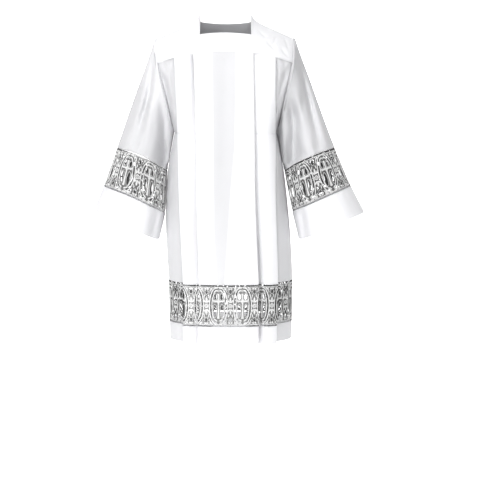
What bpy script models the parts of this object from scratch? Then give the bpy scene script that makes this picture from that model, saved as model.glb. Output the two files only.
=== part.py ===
"""A surplice as worn: square yoke, pleated front and back, wide set-in sleeves, and lace insertions.

Metres, +Z up. The front faces -Y, and the wearer's left side is at +X. The origin is where the wearer
holds the garment up: midway between the shoulders, level with the sides of the neck.
Each piece that a maker cuts is one open cloth surface, worked out from its sizes, with a Solidify wall.
"""

import math
from collections import namedtuple

import bpy
import numpy as np
from mathutils.geometry import delaunay_2d_cdt

# Walls and seams
CLOTH = 0.0012
DOUBLED = 0.0018
LACE = 0.0010
SEAM = 0.0003

# Heights of the body, down from the neck
YOKE_SEAM_Z = -0.113
LACE_TOP_Z = -0.791
LACE_BOTTOM_Z = -0.914
HEM_Z = -0.967

# The yoke's lower seam falls away to the sides, and the yoke laps over the body there
SEAM_DIP = 0.030
SEAM_DIP_AT = 0.185
SEAM_DIP_POWER = 2.2
YOKE_LAP = 0.006
YOKE_LAP_IN = 0.0016

# Square neck
NECK_HALF = 0.074
NECK_FRONT_Z = -0.0605
NECK_FRONT_DIP = 0.006
NECK_BACK_Z = -0.036

# Shoulders: a ridge that falls away from the neck, and stands up a little beside it
RIDGE_TOP_Z = 0.000
RIDGE_SLOPE = 0.448
RIDGE_ROUNDING = 0.030
NECK_RISE = 0.017
NECK_RISE_REACH = 0.010
YOKE_PROFILE = 1.5
YOKE_RIDGE_TILT = math.radians(3)
YOKE_SHARES = (0.12, 0.3, 0.5, 0.7, 0.87, 1.0)

# Armholes, as seen from the front: a line that leans in, with a bow outwards, and an opening's depth
Armhole = namedtuple("Armhole", "shoulder_x underarm_x bow")
ARMHOLES = {-1: Armhole(0.203, 0.153, 0.008), 1: Armhole(0.199, 0.152, 0.0065)}
SHOULDER_Z = -0.078
UNDERARM_Z = -0.349
ARMHOLE_HALF_DEPTH = 0.088
ARMHOLE_SEAM = 0.0014

# Plan of the body: a superellipse, with a section for each height. It is boxier at the underarm.
Section = namedtuple("Section", "z half_width front_depth back_depth power centre_x")
BODY = (
    Section(-0.113, None, 0.124, 0.112, 2.4, 0.0000),
    Section(-0.180, None, 0.131, 0.118, 2.6, 0.0000),
    Section(-0.250, None, 0.136, 0.122, 3.0, 0.0000),
    Section(-0.349, 0.1505, 0.138, 0.122, 4.0, 0.0000),
    Section(-0.466, 0.1715, 0.138, 0.122, 3.2, 0.0000),
    Section(-0.571, 0.181, 0.140, 0.124, 2.8, 0.0030),
    Section(-0.661, 0.185, 0.142, 0.127, 2.6, 0.0072),
    Section(-0.791, 0.185, 0.145, 0.132, 2.4, 0.0135),
    Section(-0.967, 0.182, 0.149, 0.138, 2.4, 0.0140),
)
ARMHOLE_ROWS = (-0.114, -0.155, -0.205, -0.250, -0.290, -0.322, -0.342, -0.349)
LOWER_ROWS = (-0.440, -0.550, -0.670)

# Knife pleats, each a fold that lies over the next panel out. Steps and lifts are depths at the hem.
Pleat = namedtuple("Pleat", "fold_top fold_mid fold_hem tuck_top tuck_hem step_hem lift_hem")
FOLD_MID_Z = -0.420
PLEATS = {
    ("front", -1): (
        Pleat(0.0924, 0.0850, 0.0975, 0.030, 0.039, 0.011, 0.000),
        Pleat(0.1487, 0.1375, 0.1355, 0.022, 0.025, 0.024, -0.010),
    ),
    ("front", 1): (
        Pleat(0.0794, 0.0846, 0.0815, 0.030, 0.035, 0.015, 0.000),
        Pleat(0.1443, 0.1445, 0.1280, 0.022, 0.025, 0.030, -0.011),
    ),
    ("back", -1): (
        Pleat(0.0860, 0.0850, 0.0880, 0.030, 0.036, 0.012, 0.000),
        Pleat(0.1460, 0.1400, 0.1370, 0.022, 0.025, 0.022, -0.008),
    ),
    ("back", 1): (
        Pleat(0.0860, 0.0850, 0.0880, 0.030, 0.036, 0.012, 0.000),
        Pleat(0.1460, 0.1400, 0.1370, 0.022, 0.025, 0.022, -0.008),
    ),
}
STEP_TOP = 0.0046
TURN_TOP = 0.00115
TURN_HEM = 0.0022
TROUGH_HALF = 0.036
TROUGH_DEPTH = 0.004
PANEL_SHARES = (0.0, 0.22, 0.45, 0.75)
SIDE_SHARES = (0.25, 0.5, 0.75, 0.92)

# Sleeves: outer and inner edge of each ring, seen from the front, and its half depth. The front of
# a ring is lifted in the middle, and a corner is how far its inner end rises.
Ring = namedtuple("Ring", "at outer_x outer_z inner_x inner_z half_depth forward lift corner")
SLEEVES = {
    -1: (
        Ring(0.00, 0.203, -0.078, 0.153, -0.349, 0.088, 0.000, 0.000, 0.000),
        Ring(0.25, 0.236, -0.160, 0.1632, -0.398, 0.094, 0.003, 0.002, 0.000),
        Ring(0.60, 0.280, -0.281, 0.1695, -0.436, 0.096, 0.008, 0.009, 0.000),
        Ring(1.00, 0.320, -0.396, 0.1745, -0.463, 0.098, 0.012, 0.016, 0.000),
        Ring(1.40, 0.361, -0.509, 0.1825, -0.590, 0.101, 0.016, 0.012, 0.001),
        Ring(1.65, 0.390, -0.580, 0.1985, -0.674, 0.103, 0.018, 0.010, 0.009),
    ),
    1: (
        Ring(0.00, 0.199, -0.078, 0.152, -0.349, 0.088, 0.000, 0.000, 0.000),
        Ring(0.25, 0.234, -0.160, 0.1615, -0.398, 0.094, 0.003, 0.002, 0.000),
        Ring(0.60, 0.278, -0.281, 0.1685, -0.436, 0.096, 0.008, 0.008, 0.000),
        Ring(1.00, 0.321, -0.396, 0.1745, -0.463, 0.098, 0.012, 0.013, 0.000),
        Ring(1.40, 0.370, -0.509, 0.1990, -0.585, 0.101, 0.016, 0.007, 0.001),
        Ring(1.65, 0.411, -0.588, 0.2175, -0.674, 0.103, 0.018, 0.011, 0.008),
    ),
}
SLEEVE_COLUMNS = 30
SLEEVE_ROWS = (0.0, 0.02, 0.07, 0.16, 0.30, 0.48, 0.66, 0.84)
LACE_AT = 1.00
CUFF_AT = 1.40
CUFF_END_AT = 1.65
CORNER_WIDTH = 24
CAP_OUT = 0.006
CAP_OUT_UNDER = 0.0012
CAP_OUT_AT = 0.05
CAP_ROLL = 0.006
CAP_BLEND_AT = 0.30

# Soft folds that run down each sleeve, as angles from its outer edge through the front
Fold = namedtuple("Fold", "top bottom width depth first last")
SLEEVE_FOLDS = {
    -1: (
        Fold(60, 68, 15, 0.008, 0.10, 1.00),
        Fold(118, 132, 17, 0.012, 0.20, 1.05),
        Fold(250, 240, 18, 0.010, 0.15, 1.00),
    ),
    1: (
        Fold(100, 94, 14, 0.008, 0.05, 0.75),
        Fold(62, 66, 15, 0.009, 0.20, 1.05),
        Fold(126, 130, 16, 0.012, 0.30, 1.05),
        Fold(248, 242, 18, 0.010, 0.15, 1.00),
    ),
}

# Lace: gaps of one repeat that are over 4 mm, from its middle and as shares of its height
Gap = namedtuple("Gap", "across up half_width half_height corners")
LACE_GAPS = (
    Gap(-0.0110, 0.38, 0.0048, 0.0190, 6),
    Gap(0.0110, 0.38, 0.0048, 0.0190, 6),
    Gap(-0.0095, 0.72, 0.0038, 0.0085, 6),
    Gap(0.0095, 0.72, 0.0038, 0.0085, 6),
    Gap(0.0370, 0.84, 0.0042, 0.0060, 4),
    Gap(0.0370, 0.16, 0.0042, 0.0060, 4),
)
HEM_REPEATS = 12
SLEEVE_REPEATS = 4

WHITE = (0.93, 0.93, 0.94, 1.0)
LACE_WHITE = (0.88, 0.88, 0.89, 1.0)


def through(rows, column, at):
    """The named column of a table at these places: a smooth cubic through its rows."""
    known = [(row[0], getattr(row, column)) for row in rows if getattr(row, column) is not None]
    known.sort()
    x, y = np.array(known, float).T
    slopes = np.gradient(y, x)
    at = np.clip(np.asarray(at, float), x[0], x[-1])
    i = np.clip(np.searchsorted(x, at) - 1, 0, len(x) - 2)
    span = x[i + 1] - x[i]
    t = (at - x[i]) / span
    return (
        y[i] * (1 + 2 * t) * (1 - t) ** 2
        + y[i + 1] * t * t * (3 - 2 * t)
        + span * slopes[i] * t * (1 - t) ** 2
        - span * slopes[i + 1] * t * t * (1 - t)
    )


def ease(t):
    """0 to 1 with level ends."""
    t = np.clip(t, 0, 1)
    return t * t * (3 - 2 * t)


def mix(a, b, t):
    return a + (b - a) * t


def seam_z(x):
    """Height of the yoke's lower seam."""
    return YOKE_SEAM_Z - SEAM_DIP * (np.abs(x) / SEAM_DIP_AT) ** SEAM_DIP_POWER


def ridge_z(x):
    """Height of the shoulder ridge: a hyperbola, rounded over the neck."""
    return RIDGE_TOP_Z - RIDGE_SLOPE * (np.sqrt(x * x + RIDGE_ROUNDING**2) - RIDGE_ROUNDING)


def armhole_x(z, side):
    """Where the armhole's line stands at height z, as a distance from the middle."""
    line = ARMHOLES[side]
    down = (SHOULDER_Z - np.asarray(z, float)) / (SHOULDER_Z - UNDERARM_Z)
    return mix(line.shoulder_x, line.underarm_x, down) + line.bow * 9.5 * down * (1 - down) ** 3


def armhole_depth(z):
    """Half the armhole's opening, front to back, at height z: an ellipse."""
    middle = (SHOULDER_Z + UNDERARM_Z) / 2
    reach = (SHOULDER_Z - UNDERARM_Z) / 2
    rise = np.clip((np.asarray(z, float) - middle) / reach, -1, 1)
    return ARMHOLE_HALF_DEPTH * np.sqrt(1 - rise**2)


def depth_at(z, face):
    return through(BODY, "front_depth" if face == "front" else "back_depth", z)


def power_at(z):
    return through(BODY, "power", z)


def half_width_at(z, face, side):
    """Below the underarm the table's width, and above it the width whose plan meets the armhole's edge."""
    z = np.minimum(np.asarray(z, float), YOKE_SEAM_Z)
    power = power_at(z)
    open_share = (armhole_depth(z) / depth_at(z, face)) ** power
    above = armhole_x(z, side) / (1 - open_share) ** (1 / power)
    return np.where(z > UNDERARM_Z, above, through(BODY, "half_width", z))


def wall_y(x, z, face, side):
    """Distance from the XZ plane out to the wall, which closes in to the shoulder ridge over the yoke."""
    seam = seam_z(x)
    under = np.minimum(z, seam)
    power = power_at(under)
    share = np.clip(np.abs(x) / half_width_at(under, face, side), 0, 1)
    plan = depth_at(under, face) * (1 - share**power) ** (1 / power)
    rise = np.clip((z - seam) / (ridge_z(x) - seam), 0, 1)
    return plan * (1 - rise**YOKE_PROFILE) ** (1 / YOKE_PROFILE)


def trough(x, z):
    """Depth of the shallow hollow down the middle of the front, which fades out at the hem."""
    fade = 1 - ease((YOKE_SEAM_Z - z) / (YOKE_SEAM_Z - HEM_Z))
    return TROUGH_DEPTH * (1 - ease(np.abs(x) / TROUGH_HALF)) * fade


def half_section(z, face, side):
    """Columns (x, depth) of one half, from the middle out to the side seam or armhole, at heights z."""
    down = ease((YOKE_SEAM_Z - z) / (YOKE_SEAM_Z - HEM_Z))
    turn = mix(TURN_TOP, TURN_HEM, down)
    end = np.where(z > UNDERARM_Z, armhole_x(z, side), half_width_at(z, face, side))

    def at(pleat):
        places = (pleat.fold_hem, pleat.fold_mid, pleat.fold_top)
        fold = np.interp(z, (HEM_Z, FOLD_MID_Z, YOKE_SEAM_Z), places)
        tuck = mix(pleat.tuck_top, pleat.tuck_hem, down)
        return fold, tuck, mix(STEP_TOP, pleat.step_hem, down), pleat.lift_hem * down

    def turns(fold, tuck, step, lift):
        """The fold and the hidden turn behind it, three points each."""
        return [
            (fold - turn, lift),
            (fold, lift + turn),
            (fold - turn, lift + 2 * turn),
            (fold - tuck + turn, lift + step - 2 * turn),
            (fold - tuck, lift + step - turn),
            (fold - tuck + turn, lift + step),
        ]

    inner, outer = (at(pleat) for pleat in PLEATS[face, side])
    fold, _, step, _ = inner
    next_fold, next_tuck, next_step, next_lift = outer
    columns = []
    for share in PANEL_SHARES:
        x = (fold - turn) * share
        columns.append((x, trough(x, z) if face == "front" else 0 * z))
    columns += turns(*inner)
    columns.append((fold, step))
    emerges = next_lift + next_step
    halfway = next_fold - next_tuck / 2
    columns.append((mix(fold, next_fold - next_tuck, 0.5), mix(step, next_lift, 0.5)))
    columns.append((next_fold - next_tuck, next_lift))
    columns.append((halfway, next_lift))
    over, under = turns(*outer)[:3], turns(*outer)[3:]
    columns += [*over, (halfway, next_lift + next_step / 2), *under, (halfway, emerges)]
    columns.append((next_fold, emerges))
    width, power = half_width_at(z, face, side), power_at(z)
    first = np.arccos(np.clip(next_fold / width, 0, 1) ** (power / 2))
    last = np.arccos(np.clip(end / width, 0, 1) ** (power / 2))
    for share in SIDE_SHARES:
        x = width * np.cos(mix(first, last, share)) ** (2 / power)
        columns.append((x, emerges * (1 - ease(share / SIDE_SHARES[-1]))))
    columns.append((end, 0 * z))
    return columns


def half_grid(z, face, side):
    """Points of one half at heights z, from the middle outwards: (rows, columns, 3).

    Above the underarm the rows follow the yoke's seam down to the sides, so each column is worked out
    again at its own height.
    """
    z = np.asarray(z, float)
    follow = np.clip((z - UNDERARM_Z) / (YOKE_SEAM_Z - UNDERARM_Z), 0, 1)
    columns = half_section(z, face, side)
    heights = [z + follow * (seam_z(x) - YOKE_SEAM_Z) for x, _ in columns]
    columns = [half_section(height, face, side)[i] for i, height in enumerate(heights)]
    height = np.stack(heights, axis=1)
    x = np.stack([c[0] + 0 * z for c in columns], axis=1)
    depth = np.stack([c[1] + 0 * z for c in columns], axis=1)
    depth = depth + YOKE_LAP_IN * ease((height - seam_z(x) + 0.001) / YOKE_LAP)
    y = wall_y(x, height, face, side)
    y[z <= UNDERARM_Z, -1] = SEAM / 2
    width, reach = half_width_at(height, face, side), depth_at(height, face)
    power = power_at(height)
    across = (x / width) ** (power - 1) / width
    ahead = (y / reach) ** (power - 1) / reach
    size = np.hypot(across, ahead)
    x = side * (x - depth * across / size) + through(BODY, "centre_x", height)
    y = (y - depth * ahead / size) * (-1 if face == "front" else 1)
    return np.stack([x, y, height], axis=2)


def face_grid(z, face):
    """Points of one face at heights z, from the side seam at -X to the one at +X."""
    low, high = (half_grid(z, face, side) for side in (-1, 1))
    return np.concatenate([low[:, :0:-1], high], axis=1)


def yoke_grid(face):
    """One yoke: rows run from the ridge to the seam, and columns from -X to +X.

    Returns the points and which cells are cloth, since the square neck is left out.
    """
    shoulder = np.array(YOKE_SHARES)
    across = np.array([*(-1 - shoulder[::-1]), *np.linspace(-1, 1, 7), *(1 + shoulder)])
    side = np.where(across < 0, -1, 1)
    at_neck = np.clip(across, -1, 1) * NECK_HALF
    edge = NECK_BACK_Z + 0 * across
    if face == "front":
        edge = NECK_FRONT_Z - NECK_FRONT_DIP * (at_neck / NECK_HALF) ** 2
    rise = (edge - seam_z(at_neck)) / (ridge_z(at_neck) - seam_z(at_neck))
    neck_angle = np.arccos(rise ** (YOKE_PROFILE / 2))
    upper = [0, YOKE_RIDGE_TILT, neck_angle[0] * 0.33, neck_angle[0] * 0.66]
    angles = [np.full(len(across), a) for a in upper]
    angles += [mix(neck_angle, math.pi / 2, share) for share in (0, 0.25, 0.5, 0.75, 1)]
    angles = np.array(angles)
    beyond = np.clip(np.abs(across) - 1, 0, 1)
    x = at_neck + 0 * angles
    for _ in range(8):
        z = seam_z(x) + (ridge_z(x) - seam_z(x)) * np.cos(angles) ** (2 / YOKE_PROFILE)
        ends = np.where(side < 0, -armhole_x(z, -1), armhole_x(z, 1))
        x = mix(at_neck, ends, beyond)
    seam = seam_z(x)
    plan = np.where(side < 0, wall_y(x, seam, face, -1), wall_y(x, seam, face, 1))
    y = plan * np.sin(angles) ** (2 / YOKE_PROFILE)
    beside_neck = np.exp(-np.clip(np.abs(x) - NECK_HALF, 0, None) / NECK_RISE_REACH)
    z = z + NECK_RISE * beside_neck * np.cos(angles) ** 6
    way = -1 if face == "front" else 1
    points = np.stack([x, way * (y + SEAM / 2 + 0.0001), z], axis=2)
    points = moved_out(points, (CLOTH + DOUBLED) / 2 + SEAM, way)
    points[:, 0, 0] = -armhole_x(points[:, 0, 2], -1)
    points[:, -1, 0] = armhole_x(points[:, -1, 2], 1)
    cells = np.ones((len(angles) - 1, len(across) - 1), bool)
    cells[: len(upper), np.abs(across[:-1] + across[1:]) < 2] = False
    return points, cells


def trimmed(grid, *ends):
    """A grid with its first row, its last, or both drawn back by half a seam's gap."""
    grid = grid.copy()
    for end in ends:
        step = grid[1 if end == 0 else -2] - grid[end]
        grid[end] += step * (SEAM / 2) / np.linalg.norm(step, axis=1, keepdims=True)
    return grid


def moved_out(points, distance, way):
    """A grid's points moved along its own normals, outwards for a positive distance."""
    normal = np.cross(np.gradient(points, axis=1), np.gradient(points, axis=0)) * way
    return points + normal * distance / np.linalg.norm(normal, axis=2, keepdims=True)


def armhole_edge(face, side):
    """Heights and depths of the edge that a sleeve is sewn to, from the underarm up to the shoulder."""
    yoke, _ = yoke_grid(face)
    column = -1 if side > 0 else 0
    body = face_grid(ARMHOLE_ROWS, face)
    edge = np.concatenate([yoke[:, column], body[1:, column]])[::-1]
    return edge[:, 2], np.abs(edge[:, 1])


def armhole_loop(side):
    """Points round the armhole, from the shoulder through the front, the underarm and the back."""
    angle = 2 * math.pi * np.arange(SLEEVE_COLUMNS) / SLEEVE_COLUMNS
    front, back = armhole_edge("front", side), armhole_edge("back", side)
    z = mix(front[0][0], front[0][-1], (1 + np.cos(angle)) / 2)
    y = np.where(np.sin(angle) > 0, -np.interp(z, *front), np.interp(z, *back))
    y[np.abs(np.sin(angle)) < 1e-9] = 0
    line = ARMHOLES[side]
    lean = (line.shoulder_x - line.underarm_x) / (SHOULDER_Z - UNDERARM_Z)
    out = np.array([side, 0, -lean]) / math.hypot(1, lean)
    return np.stack([side * armhole_x(z, side), y, z], axis=1) + out * ARMHOLE_SEAM, out


def fold_depth(side, places, angle):
    """How deep the soft folds are at each place and angle: a bell across, level ends along."""
    depth = 0
    for fold in SLEEVE_FOLDS[side]:
        centre = np.radians(mix(fold.top, fold.bottom, places))
        bell = np.exp(-(((angle - centre) / math.radians(fold.width)) ** 2))
        starts = ease((places - fold.first) / 0.25)
        ends = 1 - ease((places - fold.last + 0.15) / 0.30)
        depth = depth + fold.depth * bell * starts * ends
    return depth


def sleeve_grid(side, places):
    """Rings of one sleeve at these places along it: (rows, columns, 3).

    A ring is an ellipse between its outer and inner edge. The first ones blend from the armhole's own
    loop, which first stands out as a rolled cap.
    """
    rings = SLEEVES[side]
    places = np.asarray(places, float)[:, None]
    angle = 2 * math.pi * np.arange(SLEEVE_COLUMNS)[None, :] / SLEEVE_COLUMNS
    outer = np.stack([through(rings, "outer_x", places), through(rings, "outer_z", places)])
    inner = np.stack([through(rings, "inner_x", places), through(rings, "inner_z", places)])
    half = (outer - inner) / 2
    reach = np.hypot(half[0], half[1])
    dent = fold_depth(side, places, angle)
    cosine, sine = np.cos(angle) * (1 - dent / reach), np.sin(angle)
    from_inner = np.degrees(angle - math.pi)
    corner = through(rings, "corner", places) * np.exp(-((from_inner / CORNER_WIDTH) ** 2))
    x = (outer + inner)[0] / 2 + half[0] * cosine
    z = (outer + inner)[1] / 2 + half[1] * cosine
    z = z + through(rings, "lift", places) * np.clip(sine, 0, 1) ** 2 + corner
    y = -(through(rings, "half_depth", places) - dent) * sine - through(rings, "forward", places)
    points = np.stack([side * x, y, z], axis=2)
    loop, out = armhole_loop(side)
    stands_out = mix(CAP_OUT_UNDER, CAP_OUT, ease((1 + np.cos(angle)) / 0.4)) * ease(places / CAP_OUT_AT)
    start = loop[None] + out * stands_out[..., None]
    roll = CAP_ROLL * np.sin(math.pi * np.clip(places / CAP_BLEND_AT, 0, 1) ** 0.5)
    start[..., 1] -= roll * sine
    start[..., 2] += roll * np.clip(np.cos(angle), 0, 1) * 0.3
    return mix(start, points, ease(places / CAP_BLEND_AT)[..., None])


def material(name, colour, roughness):
    made = bpy.data.materials.new(name)
    made.use_nodes = True
    shader = made.node_tree.nodes["Principled BSDF"]
    shader.inputs["Base Color"].default_value = colour
    shader.inputs["Roughness"].default_value = roughness
    return made


def cloth_object(name, points, faces, thickness, finish):
    """An open cloth surface with a Solidify wall, half to each side."""
    mesh = bpy.data.meshes.new(name)
    mesh.from_pydata(points.tolist(), [], faces.tolist())
    mesh.materials.append(finish)
    made = bpy.data.objects.new(name, mesh)
    bpy.data.collections["surplice"].objects.link(made)
    wall = made.modifiers.new("wall", "SOLIDIFY")
    wall.thickness = thickness
    wall.offset = 0


def grid_object(name, grid, thickness, finish, outward, tube=False, cells=None):
    """A cloth surface from a grid of points, closed round a tube, or only where its cells are cloth."""
    rows, columns = grid.shape[:2]
    index = np.arange(rows * columns).reshape(rows, columns)
    if tube:
        index = np.concatenate([index, index[:, :1]], axis=1)
    corners = np.stack([index[:-1, :-1], index[:-1, 1:], index[1:, 1:], index[1:, :-1]], axis=2)
    corners = corners.reshape(-1, 4) if cells is None else corners[cells]
    used, compact = np.unique(corners[:, ::outward], return_inverse=True)
    cloth_object(name, grid.reshape(-1, 3)[used], compact.reshape(-1, 4), thickness, finish)


def gap_outline(gap, middle, height):
    """Corners of one gap: a diamond with four, or a pointed leaf with six."""
    shape = ((0, 1), (-1, 0), (0, -1), (1, 0))
    if gap.corners == 6:
        shape = ((0, 1), (-1, 0.4), (-1, -0.4), (0, -1), (1, -0.4), (1, 0.4))
    scale = (gap.half_width, gap.half_height)
    return np.array(shape) * scale + (middle + gap.across, gap.up * height)


def inside(points, outline):
    """Which points lie in a convex outline that runs anticlockwise."""
    found = np.ones(len(points), bool)
    for a, b in zip(outline, np.roll(outline, -1, axis=0)):
        edge = b - a
        found &= edge[0] * (points[:, 1] - a[1]) - edge[1] * (points[:, 0] - a[0]) > 0
    return found


def lace_object(name, grid, repeats, finish, outward):
    """A lace strip on the cloth between the first and last row of a grid.

    The strip is laid flat, its gaps are cut out of a constrained triangulation, and each flat point
    is put back on the grid: across by its length along the cloth, and up by its share of the height.
    A gap that would run over the turn of a fold stays uncut.
    """
    middle_row = grid.mean(axis=0)
    steps = np.diff(middle_row, axis=0)
    spans = np.linalg.norm(steps, axis=1)
    along = np.concatenate([[0], np.cumsum(spans)])
    headings = steps / spans[:, None]
    turning = np.degrees(np.arccos(np.clip((headings[1:] * headings[:-1]).sum(axis=1), -1, 1)))
    folds = along[1:-1][turning > 30]
    height = float(np.linalg.norm(grid[0] - grid[-1], axis=1).mean())
    width = along[-1] / repeats
    flat, edges, outlines = [], [], []

    def add(points, closed=True):
        first, count = len(flat), len(points)
        flat.extend(tuple(p) for p in points)
        edges.extend((first + i, first + (i + 1) % count) for i in range(count if closed else count - 1))

    add([(s, 0.0) for s in along] + [(s, height) for s in along[::-1]])
    for s in folds:
        add([(s, 0.0), (s, height)], closed=False)
    for k in range(repeats):
        for gap in LACE_GAPS:
            outline = gap_outline(gap, (k + 0.5) * width, height)
            low, high = outline[:, 0].min() - 0.002, outline[:, 0].max() + 0.002
            if high > along[-1] or ((folds > low) & (folds < high)).any():
                continue
            outlines.append(outline)
            add(outline)
    points, _, triangles, *_ = delaunay_2d_cdt(flat, edges, [], 0, 1e-6)
    points = np.array([tuple(p) for p in points])
    triangles = np.array([tuple(t) for t in triangles])
    centre = points[triangles].mean(axis=1)
    keep = ~np.any([inside(centre, outline) for outline in outlines], axis=0)
    used, compact = np.unique(triangles[keep][:, ::-outward], return_inverse=True)
    low, high = (
        np.stack([np.interp(points[used, 0], along, row[:, k]) for k in range(3)], axis=1)
        for row in (grid[-1], grid[0])
    )
    placed = mix(low, high, points[used, 1:] / height)
    cloth_object(name, placed, compact.reshape(-1, 3), LACE, finish)


def make_body(white, lace_white):
    """Both faces of the body: yoke, pleated panel, lace insertion and hem band."""
    for face in ("front", "back"):
        outward = -1 if face == "front" else 1
        points, cells = yoke_grid(face)
        grid_object(f"yoke_{face}", points, DOUBLED, white, outward, cells=cells)
        rows = [YOKE_SEAM_Z + YOKE_LAP, *ARMHOLE_ROWS, *LOWER_ROWS, LACE_TOP_Z]
        panel = trimmed(face_grid(rows, face), -1)
        grid_object(f"body_{face}", panel, CLOTH, white, outward)
        strip = trimmed(face_grid([LACE_TOP_Z, LACE_BOTTOM_Z], face), 0, -1)
        lace_object(f"hem_lace_{face}", strip, HEM_REPEATS, lace_white, outward)
        band = trimmed(face_grid([LACE_BOTTOM_Z, HEM_Z], face), 0)
        grid_object(f"hem_band_{face}", band, DOUBLED, white, outward)


def make_sleeve(side, white, lace_white):
    """One sleeve: its cloth, the two halves of its lace insertion, and its cuff band."""
    name = "left" if side > 0 else "right"
    cloth = trimmed(sleeve_grid(side, [*SLEEVE_ROWS, LACE_AT]), -1)
    grid_object(f"sleeve_{name}", cloth, CLOTH, white, side, tube=True)
    ring = trimmed(sleeve_grid(side, [LACE_AT, CUFF_AT]), 0, -1)
    half = SLEEVE_COLUMNS // 2
    for face, first in (("front", 0), ("back", half)):
        strip = ring[:, (first + np.arange(half + 1)) % SLEEVE_COLUMNS]
        strip[:, [0, -1], 1] += SEAM / 2 * (-1 if face == "front" else 1)
        lace_object(f"sleeve_lace_{name}_{face}", strip, SLEEVE_REPEATS, lace_white, side)
    middle = (CUFF_AT + CUFF_END_AT) / 2
    cuff = trimmed(sleeve_grid(side, [CUFF_AT, middle, CUFF_END_AT]), 0)
    grid_object(f"cuff_{name}", cuff, DOUBLED, white, side, tube=True)


def main():
    for old in list(bpy.data.objects):
        bpy.data.objects.remove(old)
    collection = bpy.data.collections.new("surplice")
    bpy.context.scene.collection.children.link(collection)
    white = material("white_cloth", WHITE, 0.85)
    lace_white = material("white_lace", LACE_WHITE, 0.90)
    make_body(white, lace_white)
    for side in (-1, 1):
        make_sleeve(side, white, lace_white)


main()
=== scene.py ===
import math
from collections import namedtuple

import bpy
import numpy as np
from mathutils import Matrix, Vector
from mathutils.geometry import delaunay_2d_cdt


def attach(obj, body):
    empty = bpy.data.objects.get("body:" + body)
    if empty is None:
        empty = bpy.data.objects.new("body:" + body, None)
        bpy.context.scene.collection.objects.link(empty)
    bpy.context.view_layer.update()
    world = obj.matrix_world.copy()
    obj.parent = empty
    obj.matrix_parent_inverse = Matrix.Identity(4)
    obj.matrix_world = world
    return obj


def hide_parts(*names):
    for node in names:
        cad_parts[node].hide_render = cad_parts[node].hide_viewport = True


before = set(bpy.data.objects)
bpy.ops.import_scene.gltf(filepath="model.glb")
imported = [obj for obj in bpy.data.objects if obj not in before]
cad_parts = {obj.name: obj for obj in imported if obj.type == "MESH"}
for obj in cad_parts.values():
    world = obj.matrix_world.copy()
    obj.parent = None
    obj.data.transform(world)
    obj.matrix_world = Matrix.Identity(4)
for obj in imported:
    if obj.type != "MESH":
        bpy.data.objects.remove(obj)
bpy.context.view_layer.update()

# Millimetres in a metre
MM = 1000

# Walls of the cloth, the angle from which an edge is crisp, and how near two points of a tube's ends are one
CLOTH = 0.0012
DOUBLED = 0.0018
NET = 0.0006
CRISP = math.radians(50)
CLOSED = 0.00001

# Heights of the body and of the floor, down from the neck
YOKE_SEAM_Z = -0.113
LACE_TOP_Z = -0.791
LACE_BOTTOM_Z = -0.914
HEM_Z = -0.967
FLOOR_Z = -1.47

# The yoke's lower seam falls away to the sides, and the yoke laps over the body there. It stands a little
# proud, and has slow waves from an angle below the ridge on.
SEAM_DIP = 0.030
SEAM_DIP_AT = 0.185
SEAM_DIP_POWER = 2.2
YOKE_LAP = 0.006
YOKE_LAP_IN = 0.0016
YOKE_LAP_BELOW = 0.001
YOKE_OUT = 0.0012
YOKE_WAVE = 0.0006
YOKE_WAVE_FROM = 0.6

# Square neck, with a facing that is stitched down twice, each time in a groove. Beside the neck the stitches
# run to some rows below its corners.
NECK_HALF = 0.074
NECK_FRONT_Z = -0.0605
NECK_FRONT_DIP = 0.006
NECK_BACK_Z = -0.036
NECK_STITCHES = (0.0016, 0.0075)
NECK_STITCH_ROWS = 5
NECK_GROOVE = 0.0005
NECK_GROOVE_HALF = 0.0010

# Shoulders: the ridge, how the yoke rises beside the neck, and the power of its curve from ridge to seam
RIDGE_TOP_Z = 0.000
RIDGE_SLOPE = 0.448
RIDGE_ROUNDING = 0.030
NECK_RISE = 0.017
NECK_RISE_REACH = 0.010
NECK_RISE_POWER = 6
YOKE_PROFILE = 1.5

# Armholes, as seen from the front: a line that leans in, with a bow outwards, and an opening's depth. The
# bow's formula is scaled to 1 at its peak.
Armhole = namedtuple("Armhole", "shoulder_x underarm_x bow")
ARMHOLES = {-1: Armhole(0.203, 0.153, 0.008), 1: Armhole(0.199, 0.152, 0.0065)}
BOW_PEAK = 9.5
SHOULDER_Z = -0.078
UNDERARM_Z = -0.349
ARMHOLE_HALF_DEPTH = 0.088
ARMHOLE_SEAM = 0.0008

# The seam of an armhole draws the body in: how far, how wide, from which height down and over which reach,
# and at most this share of the depth there. The pull fades over the underarm, where the rows stand closer.
ARMHOLE_SINK = {"front": 0.011, "back": 0.005}
ARMHOLE_SINK_WIDTH = 0.0075
ARMHOLE_SINK_Z = -0.115
ARMHOLE_SINK_REACH = 0.13
ARMHOLE_SINK_MOST = 0.5
UNDERARM_REACH = 0.012

# Plan of the body: a superellipse, with a section for each height
Section = namedtuple("Section", "z half_width front_depth back_depth power centre_x")
BODY = (
    Section(-0.113, None, 0.124, 0.112, 2.4, 0.0000),
    Section(-0.180, None, 0.131, 0.118, 2.6, 0.0000),
    Section(-0.250, None, 0.136, 0.122, 3.0, 0.0000),
    Section(-0.349, 0.1505, 0.138, 0.122, 4.0, 0.0000),
    Section(-0.466, 0.1715, 0.138, 0.122, 3.2, 0.0000),
    Section(-0.571, 0.181, 0.140, 0.124, 2.8, 0.0030),
    Section(-0.661, 0.185, 0.142, 0.127, 2.6, 0.0072),
    Section(-0.791, 0.185, 0.145, 0.132, 2.4, 0.0135),
    Section(-0.967, 0.182, 0.149, 0.138, 2.4, 0.0140),
)

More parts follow.
